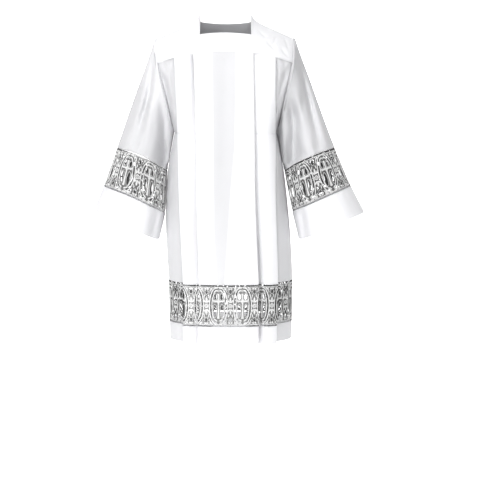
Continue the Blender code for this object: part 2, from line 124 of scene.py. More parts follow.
# Knife pleats, each a fold that lies over the next panel out. Steps and lifts are depths at the hem.
Pleat = namedtuple("Pleat", "fold_top fold_mid fold_hem tuck_top tuck_hem step_hem lift_hem")
FOLD_MID_Z = -0.420
BACK_PLEATS = (
    Pleat(0.0860, 0.0850, 0.0880, 0.030, 0.036, 0.012, 0.000),
    Pleat(0.1460, 0.1400, 0.1370, 0.022, 0.025, 0.022, -0.008),
)
PLEATS = {
    ("front", -1): (
        Pleat(0.0924, 0.0850, 0.0975, 0.030, 0.039, 0.011, 0.000),
        Pleat(0.1487, 0.1375, 0.1355, 0.022, 0.025, 0.024, -0.010),
    ),
    ("front", 1): (
        Pleat(0.0794, 0.0846, 0.0815, 0.030, 0.035, 0.015, 0.000),
        Pleat(0.1443, 0.1445, 0.1280, 0.022, 0.025, 0.030, -0.011),
    ),
    ("back", -1): BACK_PLEATS,
    ("back", 1): BACK_PLEATS,
}

# Depth of a step at the yoke, and the radius of a fold's turn there and at the hem
STEP_TOP = 0.0046
TURN_TOP = 0.00115
TURN_HEM = 0.0022

# A shallow hollow down the middle of the front, from a little below the yoke
HOLLOW_HALF = 0.036
HOLLOW_DEPTH = 0.004
HOLLOW_STARTS = 0.025

# Past the last fold: the share of the way that lies behind it, and that by which the step is gone
SIDE_BEHIND = 0.2
SIDE_LEVEL = 0.92

# Columns and rows of each stretch, how the yoke's are spaced, the rounds that find its ends, the height of a
# row, and how many columns of a neighbour the raised lace can run over
YOKE_NECK_COLUMNS = 61
YOKE_SIDE_COLUMNS = 56
YOKE_NECK_ROW = 30
YOKE_LOWER_ROWS = 40
YOKE_SIDE_SPACING = 1.35
YOKE_LOWER_SPACING = 1.3
YOKE_ROUNDS = 8
PANEL_COLUMNS = 25
TURN_COLUMNS = 6
LAP_COLUMNS = 5
STEP_COLUMNS = 14
SIDE_COLUMNS = 28
ROW_HEIGHT = 0.0060
UNDERARM_ROWS = 9
UNDERARM_CLEAR = 0.002
END_COLUMNS = 14
SLEEVE_END_COLUMNS = 11

# The groove along a seam: its depth and half its width
SEAM_GROOVE = 0.0005
SEAM_GROOVE_HALF = 0.0016

# Sleeves: place of each ring, its outer and inner edge, seen from the front, its half depth, and how far it
# stands forward. The front of a ring is lifted in the middle, and a corner is how far its inner end rises.
Ring = namedtuple("Ring", "at outer_x outer_z inner_x inner_z half_depth forward lift corner")
SLEEVES = {
    -1: (
        Ring(0.00, 0.203, -0.078, 0.153, -0.349, 0.088, 0.000, 0.000, 0.000),
        Ring(0.25, 0.236, -0.160, 0.1632, -0.398, 0.094, 0.003, 0.002, 0.000),
        Ring(0.60, 0.280, -0.281, 0.1695, -0.436, 0.096, 0.008, 0.009, 0.000),
        Ring(1.00, 0.320, -0.396, 0.1745, -0.463, 0.098, 0.012, 0.016, 0.000),
        Ring(1.40, 0.361, -0.509, 0.1825, -0.590, 0.101, 0.016, 0.012, 0.001),
        Ring(1.65, 0.390, -0.580, 0.1985, -0.674, 0.103, 0.018, 0.010, 0.009),
    ),
    1: (
        Ring(0.00, 0.199, -0.078, 0.152, -0.349, 0.088, 0.000, 0.000, 0.000),
        Ring(0.25, 0.234, -0.160, 0.1615, -0.398, 0.094, 0.003, 0.002, 0.000),
        Ring(0.60, 0.278, -0.281, 0.1685, -0.436, 0.096, 0.008, 0.008, 0.000),
        Ring(1.00, 0.321, -0.396, 0.1745, -0.463, 0.098, 0.012, 0.013, 0.000),
        Ring(1.40, 0.370, -0.509, 0.1990, -0.585, 0.101, 0.016, 0.007, 0.001),
        Ring(1.65, 0.411, -0.588, 0.2175, -0.674, 0.103, 0.018, 0.011, 0.008),
    ),
}

# Columns round a sleeve, the places where its lace and cuff start and end, and a corner's width in degrees
SLEEVE_COLUMNS = 164
LACE_AT = 1.00
CUFF_AT = 1.40
CUFF_END_AT = 1.65
CORNER_WIDTH = 24

# Rows of a sleeve: those of the cap, then a step apart, with closer ones beside a seam
CAP_ROWS_AT = 0.075
CAP_ROWS = 12
SLEEVE_STEP_AT = 0.0145
SLEEVE_CLOSER_AT = 0.0025

# The cap stands out from the armhole, rolls over it, blends into the rings, and leaves the depth of its seam
CAP_OUT = 0.006
CAP_OUT_UNDER = 0.0012
CAP_OUT_AT = 0.05
CAP_OUT_SHARE = 0.4
CAP_ROLL = 0.006
CAP_ROLL_UP = 0.3
CAP_BLEND_AT = 0.30
CAP_SUNK_AT = 0.020

# Metres of a sleeve's cloth: for a radian round it, in its waves and its puckers, and for one place along it,
# in its waves, above the lace and above the cuff
WAVE_ROUND = 0.11
PUCKER_ROUND = 0.095
WAVE_ALONG = 0.3
CLOTH_ALONG = 0.24
LACE_ALONG = 0.30

# The front of each sleeve swells beside the underarm: how far, at which angle, how wide, and where it fades
INNER_BULGE = 0.0045
INNER_BULGE_ANGLE = 158
INNER_BULGE_WIDTH = 13
INNER_BULGE_IN = 0.06
INNER_BULGE_END = 0.95
INNER_BULGE_OUT = 0.3

# Soft folds that run down each sleeve: angles from its outer edge through the front, width, depth in metres,
# and the places where they start and end. They fade in and out over a stretch.
Fold = namedtuple("Fold", "top bottom width depth first last")
SLEEVE_FOLDS = {
    -1: (
        Fold(60, 68, 15, 0.008, 0.10, 1.00),
        Fold(122, 134, 17, 0.011, 0.32, 1.05),
        Fold(250, 240, 18, 0.010, 0.15, 1.00),
    ),
    1: (
        Fold(92, 84, 15, 0.008, 0.05, 0.75),
        Fold(62, 66, 15, 0.009, 0.20, 1.05),
        Fold(116, 119, 16, 0.010, 0.30, 1.05),
        Fold(248, 242, 18, 0.010, 0.15, 1.00),
    ),
}
FOLD_IN = 0.25
FOLD_OUT = 0.30

# Creases placed over those in the photo: a path in its pixels, a bell's width across it in pixels, its depth
# in millimetres, which is negative on a ridge, and the shares of the path over which it fades in and out. The
# back has those of the other side.
Crease = namedtuple("Crease", "path width depth fade_in fade_out")
SLEEVE_CREASES = {
    1: (
        Crease(
            ((280.5, 102), (281, 116), (282, 130), (283, 144), (284, 158), (286, 185)),
            2.7, -20, 0.3, 0.25,
        ),
        Crease(
            ((288, 94), (291, 108), (293, 120), (293.8, 136), (294, 152), (292, 190)),
            5.4, 31, 0.25, 0.2,
        ),
        Crease(
            ((292, 98), (296, 110), (299, 122), (300, 138), (300, 152), (296, 190)),
            6.0, 9, 0.35, 0.2,
        ),
        Crease(((293, 80), (298, 100), (301.5, 120), (303, 140), (303, 158)), 3.4, -3, 0.3, 0.3),
        Crease(((297, 43), (298, 53), (297.5, 63), (295.5, 76)), 1.8, 6, 0.15, 0.5),
        Crease(
            (
                (299, 48), (302.5, 66), (306, 84), (309.5, 100),
                (313, 116), (316.5, 130), (319.5, 144), (323, 160),
            ),
            3.8, 24, 0.08, 0.55,
        ),
        Crease(((302, 82), (303, 95), (303, 108), (303.5, 120)), 2.8, 4, 0.35, 0.45),
        Crease(
            ((313, 90), (317.5, 102), (320.5, 112), (323, 122), (326, 134), (330, 150)),
            2.8, -4, 0.3, 0.2,
        ),
        Crease(((296, 190), (300, 203), (303, 220), (306, 242)), 4.2, 12, 0.3, 0.0),
        Crease(((329, 196), (333, 208), (336, 222)), 4.0, 3, 0.4, 0.0),
    ),
    -1: (
        Crease(
            ((154, 50), (152, 66), (150, 82), (148.5, 94), (146, 105), (143, 115), (141, 125), (139.5, 140)),
            3.0, 13, 0.06, 0.35,
        ),
        Crease(((147.5, 78), (143, 96), (138, 112), (133, 128), (130, 140)), 3.2, -3, 0.3, 0.3),
        Crease(
            ((158.5, 90), (160.5, 103), (162.5, 116), (164, 128), (164.5, 142), (164, 154), (161, 190)),
            4.4, 23, 0.42, 0.2,
        ),
        Crease(((152, 84), (150, 104), (148.5, 124), (147.5, 144)), 3.4, -3, 0.3, 0.3),
        Crease(((162, 192), (158.5, 205), (155, 220), (151, 242)), 4.2, 12, 0.3, 0.0),
        Crease(((130, 196), (127, 208), (124, 222)), 4.0, 3, 0.4, 0.0),
    ),
}
BODY_CREASES = {
    1: (
        Crease(((277, 57), (280, 62), (284.5, 67)), 1.7, -3.0, 0.3, 0.3),
        Crease(((284.5, 68), (287.5, 65.5), (290, 62)), 1.7, -2.5, 0.4, 0.4),
        Crease(((263, 57), (264, 102), (264.5, 158), (264, 219)), 3.4, 1.8, 0.3, 0.5),
        Crease(((244, 102), (243, 158), (242.5, 226), (242, 274)), 4.3, 1.4, 0.5, 0.3),
    ),
    -1: (
        Crease(((160.5, 60), (164.5, 66), (167, 76)), 1.7, 2.5, 0.4, 0.4),
        Crease(((185, 57), (185.5, 110), (186.5, 168), (187.5, 233)), 3.4, 1.8, 0.3, 0.5),
        Crease(((205, 99), (204.5, 161), (204, 226), (205, 277)), 4.7, 1.4, 0.5, 0.3),
    ),
}
SIDE_CREASES = {
    1: (
        Crease(((289, 62), (284, 80), (279, 98), (275.5, 113), (275, 122)), 3.2, 11, 0.3, 0.2),
        Crease(((277.5, 62), (277.5, 84), (277, 104)), 1.4, 4, 0.3, 0.3),
        Crease(((280, 150), (283, 190), (284.5, 240), (285, 290)), 3.6, 4, 0.4, 0.3),
    ),
    -1: (
        Crease(((161.5, 70), (166, 86), (170, 102), (173, 114)), 2.8, 9, 0.25, 0.2),
        Crease(((172, 64), (173.5, 92), (175.5, 116)), 2.2, 5, 0.2, 0.3),
        Crease(((171, 168), (170.5, 220), (171, 270)), 3.0, 3, 0.4, 0.3),
    ),
}
YOKE_CREASES = {
    1: (
        Crease(((257.5, 29), (263, 35), (269, 38)), 1.5, 1.8, 0.4, 0.4),
        Crease(((265.5, 40), (271, 46), (277, 51)), 1.8, 2.2, 0.4, 0.4),
        Crease(((277, 35), (274, 42.5), (269.5, 48)), 1.5, 1.6, 0.4, 0.4),
        Crease(((280.5, 46), (285, 54), (290.5, 58.5)), 1.8, 2.0, 0.4, 0.4),
        Crease(((284, 36), (287, 44), (288.5, 52)), 1.4, 1.4, 0.4, 0.4),
    ),
    -1: (
        Crease(((192, 31.5), (185, 37), (177, 40.5)), 2.3, 1.2, 0.5, 0.5),
        Crease(((174, 45.5), (168.5, 51), (162, 56)), 2.3, 1.4, 0.5, 0.5),
    ),
}

# The photo's width in pixels, the planes that the camera's rays meet, the step along a crease, its reach in
# widths and its shortest fade, and how a sleeve's facing turns into its share of a crease
PHOTO_WIDTH = 502
SLEEVE_FRONT_Y = -0.090
BODY_FRONT_Y = -0.120
CREASE_STEP = 0.012
CREASE_REACH = 3
CREASE_LEAST_FADE = 1e-3
CREASE_FACING = 1.5

# A crease starts below the armhole's seam and loses a share in the lace. On the body it fades near the sides.
CREASE_FROM = 0.05
IN_LACE = 0.45
IN_LACE_ABOVE = 0.075
IN_LACE_BELOW = 0.05
BODY_CREASE_Y = 0.05
SIDE_CREASE_COLUMNS = 5

# Height of the slow waves in the panels and the sleeves, and where the back's are taken from
WAVE = 0.0016
SLEEVE_WAVE = 0.0010
SLEEVE_WAVE_FROM = 0.2
BACK_WAVE = 0.3

# The edges stay in place where they are sewn: at the armhole and at the side seam
ARMHOLE_KEEP = 0.008
SIDE_KEEP_POWER = 24
SIDE_KEEP_ABOVE = 0.03

# The pleated cloth puffs out under the yoke's seam
SEAM_PUFF = 0.0015
SEAM_PUFF_EDGE = 0.0004
SEAM_PUFF_REACH = 0.030

# The trough beside each fold, from the middle outwards, at the yoke and from a reach below it on. It starts
# at the yoke's seam, and runs on behind the fold.
Trough = namedtuple("Trough", "top low width_top width_low")
FOLD_TROUGHS = {
    ("front", -1): (Trough(0.0110, 0.0012, 0.0085, 0.0040), Trough(0.0040, 0.0040, 0.0045, 0.0045)),
    ("front", 1): (Trough(0.0050, 0.0075, 0.0050, 0.0105), Trough(0.0050, 0.0050, 0.0045, 0.0045)),
    ("back", -1): (Trough(0.0040, 0.0030, 0.0050, 0.0045), Trough(0.0030, 0.0030, 0.0045, 0.0045)),
    ("back", 1): (Trough(0.0030, 0.0040, 0.0045, 0.0055), Trough(0.0030, 0.0030, 0.0045, 0.0045)),
}
FOLD_TROUGH_REACH = 0.40
FOLD_TROUGH_BEHIND = 0.02
FOLD_TROUGH_STARTS = 0.012

# Puckers above and below the lace, where its seams draw the cloth in: their height, reach and start, and
# where those below it are taken from on the body and on a sleeve
PUCKER = 0.0007
PUCKER_REACH = 0.022
PUCKER_STARTS = 0.004
PUCKER_BELOW = 0.7
PUCKER_BELOW_SLEEVE = 0.4

# What is left of the tone of cloth and of stitches at a full share, and the share of each part, partly one
# layer over the dark garment worn beneath, which is not built, and partly painted shade: a sleeve at its cap,
# painted shade that is heavy on the sleeve at +X, and below, one layer; the middle strip, one layer, with its
# share at the lace; and the sides from a few columns past the last fold, one layer with painted shade on it,
# with the hem band's share of that, which is painted shade alone
THIN_AND_SHADE_TONE = 0.66
STITCH_SHADE_TONE = 0.74
SLEEVE_THIN_AND_SHADE = {-1: (0.18, 0.56), 1: (0.85, 0.59)}
SLEEVE_THIN_AND_SHADE_REACH = 0.5
THIN_MIDDLE = 0.47
THIN_MIDDLE_LOW = 0.7
THIN_MIDDLE_REACH = 0.30
SIDE_THIN_AND_SHADE = 0.56
SIDE_THIN_AND_SHADE_IN = 3
HEM_SIDE_SHADE = 0.7

# Painted shade in the fold beside each underarm: what it adds, that fold's angle and width, and where it fades
# in
FOLD_PAINTED_SHADE = {-1: 0.05, 1: 0.41}
FOLD_PAINTED_SHADE_ANGLE = 143
FOLD_PAINTED_SHADE_WIDTH = 13
FOLD_PAINTED_SHADE_FROM = 0.1
FOLD_PAINTED_SHADE_REACH = 0.4

# Painted shade on the front's lace across it, as (x, share), and on the lace of the right and the left sleeve
LACE_PAINTED_SHADE = (
    (-0.124, 1.0), (-0.121, 0.0), (-0.049, 0.0), (-0.037, 0.35),
    (0.093, 0.35), (0.097, 0.50), (0.140, 0.50), (0.143, 1.0),
)
SLEEVE_LACE_PAINTED_SHADE = (0.6, 0.8)

# The single layer between the hidden laps: its edges at some heights, and how soft each edge is
SINGLE_Z = (-0.777, -0.630, -0.505, -0.385, -0.113)
SINGLE_EDGES = ((-0.027, -0.0345, -0.036, -0.036, -0.038), (-0.004, 0.0065, 0.0150, 0.0260, 0.030))
SINGLE_SOFT = (0.004, 0.005)

# Lace: gaps of one repeat that the solids have too, from its middle and as shares of its height
Gap = namedtuple("Gap", "across up half_width half_height")
LACE_GAPS = (
    Gap(-0.0110, 0.38, 0.0048, 0.0190),
    Gap(0.0110, 0.38, 0.0048, 0.0190),
    Gap(-0.0095, 0.72, 0.0038, 0.0085),
    Gap(0.0095, 0.72, 0.0038, 0.0085),
    Gap(0.0370, 0.84, 0.0042, 0.0060),
    Gap(0.0370, 0.16, 0.0042, 0.0060),
)
HEM_REPEATS = 12
SLEEVE_REPEATS = 8

# One flat repeat of the lace in millimetres: its size, the middle of its rings and of its cross, and the
# height of the raised work. Raised shapes of less than the full width are lower, and all are sunk a little.
REPEAT_WIDTH = 74.0
REPEAT_HEIGHT = 122.7
CENTRE = np.array([0.0, 61.3])
CROSSING = np.array([0.0, 75.0])
RELIEF = 1.1
LEAF_RELIEF = RELIEF * 1.15
CROSS_RELIEF = RELIEF * 1.3
LOW_RELIEF = RELIEF * 0.8
GAP_EDGE_RELIEF = RELIEF * 0.9
FULL_WIDTH = 1.8
SUNK = 0.2

# Section of a raised shape: places across it and the height there
DOME = np.array([-1.0, -0.62, 0.0, 0.62, 1.0])
DOME_HEIGHT = np.array([0.0, 0.80, 1.0, 0.80, 0.0])

# Edges of the lace in millimetres: a row of small openings, a cord, and arches on the cord
LADDER_STEPS = 15
LADDER_UP = 2.75
LADDER_HALF = 0.46
LADDER_HEIGHT = 4.5
EDGE_CORD_UP = 6.0
EDGE_CORD_STEP = 3.4
EDGE_CORD_WIDTH = 2.0
ARCH_STEP = 1.35
ARCH_SPAN = 9.25
ARCH_RISE = 3.6
ARCH_WIDTH = 1.3

# Points along the drawn shapes, in number or a step apart in millimetres
CORD_STEP = 2.7
ARC_STEP = 1.6
SCROLL_POINTS = 16
LEAF_POINTS = 8
GAP_POINTS = 9
GAP_EDGE_POINTS = 19

# The net's mesh: levels up it, how far an opening has to reach into it, and how near points are one
NET_LEVELS = 9
NET_END = 0.0005
NET_SAME = 1e-6

# The edging runs this many millimetres past the last repeat, and raised work ends this near a strip's end
EDGING_PAST = 1.5
RELIEF_END = 0.001

# Stitches: length, pitch and radius, how far ahead the line's way is read, how much of a bead is full, how
# many radii it is raised, and how far the lines lie from the yoke's edge and from a seam
STITCH = 0.0026
STITCH_PITCH = 0.0034
THREAD = 0.00028
STITCH_AHEAD = 0.0008
STITCH_FULL = 0.7
STITCH_RISE = 0.3
EDGE_STITCH = 0.0024
SEAM_STITCHES = (0.0024, 0.0040)

# The net: its cell in millimetres, half a thread as a share of that, how dense the shade between threads is,
# the colour of that shade, and a thread's colour under the lace's painted shade
NET_CELL = 1.9
NET_THREAD = 0.15
NET_SHADE = 0.88
NET_BETWEEN = (0.06, 0.06, 0.06)
NET_SHADED_THREAD = (0.17, 0.17, 0.17)

# Rise from one row of six-sided cells to the next, as a share of a cell's width
HEXAGON_RISE = 0.866

# Pitch in millimetres of the weave's threads and of the satin stitches, how far those slant, and what is left
# of the tone in the cloth's duller patches and under the painted shade between two stitches
WEAVE_PITCH = 0.62
SATIN_PITCH = 0.55
SATIN_SLANT = 0.4
UNEVEN_TONE = 0.955
SATIN_GROOVE_SHADE = 0.90

# Camera, in the photo's place
CAMERA_AT = (0.0, -5.0, -0.10)
CAMERA_TO = (0.075, 0.0, -0.708)
VIEW_WIDTH = 1.506

# Studio: softboxes, each with its place, its size and its power, and the place that they are turned to
Softbox = namedtuple("Softbox", "name at size power")
SOFTBOXES = (
    Softbox("key_light", (-2.6, -4.0, 2.3), 1.0, 62),
    Softbox("front_light", (0.0, -6.0, -0.4), 1.6, 100),
    Softbox("top_light", (-0.3, -1.5, 2.8), 2.0, 50),
)
LIT = (0, 0, -0.5)

# Strength of the room's own light and of the cove's glow, which rises between two depths, and the gamma
ROOM = 0.48
GLOW = 0.85
GLOW_FROM = -0.55
GLOW_FULL = -0.10
FAINT_GLOW = (0.12, 0.12, 0.12)
CONTRAST = 0.75

# Cove: its colour, the depths of its floor, where the bend to the wall starts, and its radius and reach
COVE_COLOUR = (0.92, 0.92, 0.92, 1)
COVE_FLOOR_Y = (-9.0, -0.6, 0.4, 2.0)
COVE_BACK = 5.0
COVE_BEND = 2.0
COVE_TOP = 7.0
COVE_HALF_WIDTH = 9.0


def curve(x, y, at):
    """A smooth cubic through points of rising x, with slopes from the neighbours on both sides."""
    slopes = np.gradient(y, x)
    at = np.clip(np.asarray(at, float), x[0], x[-1])
    i = np.clip(np.searchsorted(x, at) - 1, 0, len(x) - 2)
    span = x[i + 1] - x[i]
    t = (at - x[i]) / span
    return (
        y[i] * (1 + 2 * t) * (1 - t) ** 2
        + y[i + 1] * t * t * (3 - 2 * t)
        + span * slopes[i] * t * (1 - t) ** 2
        - span * slopes[i + 1] * t * t * (1 - t)
    )


def through(rows, column, at):
    """The named column of a table at these places, as a smooth curve through its rows."""
    known = sorted((row[0], getattr(row, column)) for row in rows if getattr(row, column) is not None)
    x, y = np.array(known, float).T
    return curve(x, y, at)


def along_line(points):
    """Distance along a line of points to each of them."""
    return np.concatenate([[0], np.cumsum(np.linalg.norm(np.diff(points, axis=0), axis=1))])


def smooth_path(points, step):
    """A smooth curve through flat points, as points about a step apart."""
    points = np.array(points, float)
    at = along_line(points)
    where = np.linspace(0, at[-1], max(3, round(at[-1] / step) + 1))
    return np.stack([curve(at, points[:, k], where) for k in range(2)], axis=1)


def ease(t):
    """0 to 1 with level ends."""
    t = np.clip(t, 0, 1)
    return t * t * (3 - 2 * t)


def mix(a, b, t):
    return a + (b - a) * t


def seam_z(x):
    """Height of the yoke's lower seam: a power curve that falls to the sides."""
    return YOKE_SEAM_Z - SEAM_DIP * (np.abs(x) / SEAM_DIP_AT) ** SEAM_DIP_POWER


def ridge_z(x):
    """Height of the shoulder ridge: a hyperbola, rounded over the neck."""
    return RIDGE_TOP_Z - RIDGE_SLOPE * (np.sqrt(x * x + RIDGE_ROUNDING**2) - RIDGE_ROUNDING)


def armhole_x(z, side):
    """Where the armhole's line stands at height z, as a distance from the middle."""
    line = ARMHOLES[side]
    down = (SHOULDER_Z - np.asarray(z, float)) / (SHOULDER_Z - UNDERARM_Z)
    return mix(line.shoulder_x, line.underarm_x, down) + line.bow * BOW_PEAK * down * (1 - down) ** 3


def armhole_depth(z):
    """Half the armhole's opening, front to back, at height z: an ellipse."""
    middle = (SHOULDER_Z + UNDERARM_Z) / 2
    reach = (SHOULDER_Z - UNDERARM_Z) / 2
    rise = np.clip((np.asarray(z, float) - middle) / reach, -1, 1)
    return ARMHOLE_HALF_DEPTH * np.sqrt(1 - rise**2)


def depth_at(z, face):
    return through(BODY, "front_depth" if face == "front" else "back_depth", z)


def power_at(z):
    return through(BODY, "power", z)


def half_width_at(z, face, side):
    """Below the underarm the table's width, and above it the width whose plan meets the armhole's edge."""
    z = np.minimum(np.asarray(z, float), YOKE_SEAM_Z)
    power = power_at(z)
    open_share = (armhole_depth(z) / depth_at(z, face)) ** power
    above = armhole_x(z, side) / (1 - open_share) ** (1 / power)
    return np.where(z > UNDERARM_Z, above, through(BODY, "half_width", z))


def wall_y(x, z, face, side):
    """Distance from the XZ plane out to the wall: a superellipse, closed in to the ridge over the yoke."""
    seam = seam_z(x)
    under = np.minimum(z, seam)
    power = power_at(under)
    share = np.clip(np.abs(x) / half_width_at(under, face, side), 0, 1)
    plan = depth_at(under, face) * (1 - share**power) ** (1 / power)
    rise = np.clip((z - seam) / (ridge_z(x) - seam), 0, 1)
    return plan * (1 - rise**YOKE_PROFILE) ** (1 / YOKE_PROFILE)


def down_share(z):
    return ease((YOKE_SEAM_Z - z) / (YOKE_SEAM_Z - HEM_Z))


class PleatAt:
    """A pleat's sizes at heights z: they change evenly down the panel."""

    def __init__(self, pleat, z):
        down = down_share(z)
        places = (pleat.fold_hem, pleat.fold_mid, pleat.fold_top)
        self.turn = mix(TURN_TOP, TURN_HEM, down)
        self.fold = np.interp(z, (HEM_Z, FOLD_MID_Z, YOKE_SEAM_Z), places)
        self.back = self.fold - mix(pleat.tuck_top, pleat.tuck_hem, down)
        self.lift = pleat.lift_hem * down
        self.emerges = self.lift + mix(STEP_TOP, pleat.step_hem, down)


def middle_panel(t, z, face, inner):
    """Level out to the first fold, with a shallow hollow down the middle of the front."""
    at = PleatAt(inner, z)
    x = (at.fold - at.turn) * t
    hollow = HOLLOW_DEPTH * (1 - ease(x / HOLLOW_HALF)) * (1 - down_share(z))
    return x, hollow * ease((YOKE_SEAM_Z - z) / HOLLOW_STARTS) if face == "front" else 0 * x


def fold_turn(t, z, pleat):
    """Half a circle round the fold's edge, from the panel to what lies behind it."""
    at = PleatAt(pleat, z)
    angle = math.pi * (t - 0.5)
    return at.fold - at.turn * (1 - np.cos(angle)), at.lift + at.turn * (1 + np.sin(angle))


def hidden_lap(t, z, pleat):
    """Straight back behind the panel, to the turn that is hidden."""
    at = PleatAt(pleat, z)
    x = mix(at.fold - at.turn, at.back + at.turn, t)
    return x, mix(at.lift + 2 * at.turn, at.emerges - 2 * at.turn, t)


def hidden_turn(t, z, pleat):
    """Half a circle round the hidden edge."""
    at = PleatAt(pleat, z)
    angle = math.pi * (t - 0.5)
    return at.back + at.turn * (1 - np.cos(angle)), at.emerges - at.turn * (1 - np.sin(angle))


def next_panel(t, z, inner, outer):
    """Out from the hidden turn, past the fold over it, and level again up to the next fold."""
    at, to = PleatAt(inner, z), PleatAt(outer, z)
    x = mix(at.back + at.turn, to.fold - to.turn, t)
    return x, mix(at.emerges, to.lift, ease((x - at.fold) / (to.back - at.fold)))


def side_panel(t, z, face, side, outer):
    """Out past the last fold, then round the superellipse to the side seam or the armhole's edge."""
    at = PleatAt(outer, z)
    width, power = half_width_at(z, face, side), power_at(z)
    end = np.where(z > UNDERARM_Z, armhole_x(z, side), width)
    first = np.arccos(np.clip(at.fold / width, 0, 1) ** (power / 2))
    last = np.arccos(np.clip(end / width, 0, 1) ** (power / 2))
    share = np.clip((t - SIDE_BEHIND) / (1 - SIDE_BEHIND), 0, 1)
    round_side = width * np.cos(mix(first, last, share)) ** (2 / power)
    x = np.where(t < SIDE_BEHIND, mix(at.back + at.turn, at.fold, t / SIDE_BEHIND), round_side)
    return x, at.emerges * (1 - ease(share / SIDE_LEVEL))


def half_columns(z, face, side):
    """Distance out and depth inwards of each column of half a section, each at its own height."""
    inner, outer = PLEATS[face, side]
    stretches = (
        (PANEL_COLUMNS + 1, lambda t, z: middle_panel(t, z, face, inner)),
        (TURN_COLUMNS, lambda t, z: fold_turn(t, z, inner)),
        (LAP_COLUMNS, lambda t, z: hidden_lap(t, z, inner)),
        (TURN_COLUMNS, lambda t, z: hidden_turn(t, z, inner)),
        (STEP_COLUMNS, lambda t, z: next_panel(t, z, inner, outer)),
        (TURN_COLUMNS, lambda t, z: fold_turn(t, z, outer)),
        (LAP_COLUMNS, lambda t, z: hidden_lap(t, z, outer)),
        (TURN_COLUMNS, lambda t, z: hidden_turn(t, z, outer)),
        (SIDE_COLUMNS, lambda t, z: side_panel(t, z, face, side, outer)),
    )
    made, first = [], 0
    for count, stretch in stretches:
        t = np.arange(count) / (count - 1) if first == 0 else (np.arange(count) + 1) / count
        made.append(stretch(t, z[:, first : first + count]))
        first += count
    return (np.concatenate(part, axis=1) for part in zip(*made))


HALF_COLUMNS = PANEL_COLUMNS + 1 + 4 * TURN_COLUMNS + 2 * LAP_COLUMNS + STEP_COLUMNS + SIDE_COLUMNS


def armhole_sink(z, face):
    """How far the armhole's seam is drawn in, from the shoulder blade down."""
    return ARMHOLE_SINK[face] * ease((ARMHOLE_SINK_Z - z) / ARMHOLE_SINK_REACH)


def half_grid(rows, face, side):
    """Points of one half from the middle outwards, (rows, columns, 3).

    Rows are level below the underarm, and above it they follow the yoke's seam down to the side.
    """
    rows = np.asarray(rows, float)[:, None] + np.zeros(HALF_COLUMNS)
    follow = np.clip((rows - UNDERARM_Z) / (YOKE_SEAM_Z - UNDERARM_Z), 0, 1)
    x, _ = half_columns(rows, face, side)
    z = rows + follow * (seam_z(x) - YOKE_SEAM_Z)
    x, depth = half_columns(z, face, side)
    depth = depth + YOKE_LAP_IN * ease((z - seam_z(x) + YOKE_LAP_BELOW) / YOKE_LAP)
    y = wall_y(x, z, face, side)
    y[rows[:, 0] <= UNDERARM_Z, -1] = 0
    width, reach, power = half_width_at(z, face, side), depth_at(z, face), power_at(z)
    across = (x / width) ** (power - 1) / width
    ahead = (y / reach) ** (power - 1) / reach
    size = np.hypot(across, ahead)
    y = y - depth * ahead / size
    from_seam = (armhole_x(z, side) - x) / ARMHOLE_SINK_WIDTH
    fades = ease((z - UNDERARM_Z + UNDERARM_REACH) / UNDERARM_REACH)
    drawn_in = armhole_sink(z, face) * np.exp(-(from_seam**2)) * fades
    y = y - np.minimum(drawn_in, ARMHOLE_SINK_MOST * np.maximum(y, 0))
    x = side * (x - depth * across / size) + through(BODY, "centre_x", z)
    return np.stack([x, y * (-1 if face == "front" else 1), z], axis=2)


def face_grid(rows, face):
    """Points of one face from the side seam at -X to the one at +X."""
    low, high = (half_grid(rows, face, side) for side in (-1, 1))
    return np.concatenate([low[:, :0:-1], high], axis=1)


def near_seams(edges, step, closer):
    """Places from the first edge to the last, a step apart, with closer ones beside every edge."""
    places = []
    for start, end in zip(edges[:-1], edges[1:]):
        way = math.copysign(1, end - start)
        count = max(2, round(abs(end - start) / step))
        inner = np.linspace(start + 2 * way * closer, end - 2 * way * closer, count)
        places += [start, start + way * closer, *inner, end - way * closer]
    return np.array([*places, edges[-1]])


def body_rows():
    """Heights of rows from under the yoke to the hem: one on each seam, and closer ones over the underarm."""
    edges = (YOKE_SEAM_Z + YOKE_LAP, YOKE_SEAM_Z, LACE_TOP_Z, LACE_BOTTOM_Z, HEM_Z)
    rows = near_seams(edges, ROW_HEIGHT, SEAM_GROOVE_HALF / 2)
    near = UNDERARM_Z + UNDERARM_REACH * np.linspace(0, 1, UNDERARM_ROWS) ** 2
    above, below = rows > near[-1] + UNDERARM_CLEAR, rows < UNDERARM_Z - UNDERARM_CLEAR
    return np.concatenate([rows[above], near[::-1], rows[below]])


def groove(distances):
    """A soft groove at each seam: a bell of the distance to it."""
    return sum(SEAM_GROOVE * np.exp(-((distance / SEAM_GROOVE_HALF) ** 2)) for distance in distances)


def from_photo(places, y):
    """Where the camera's rays through these places of the photo meet the plane at depth y, as (x, z)."""
    ahead = np.array(CAMERA_TO) - CAMERA_AT
    distance = np.linalg.norm(ahead)
    ahead /= distance
    right = np.cross(ahead, (0, 0, 1))
    right /= np.linalg.norm(right)
    flat = (np.array(places, float) - PHOTO_WIDTH / 2) * VIEW_WIDTH / PHOTO_WIDTH / distance
    across, down = flat.T[..., None]
    ray = ahead + across * right - down * np.cross(right, ahead)
    return (CAMERA_AT + ray * ((y - CAMERA_AT[1]) / ray[:, 1:2]))[:, ::2]


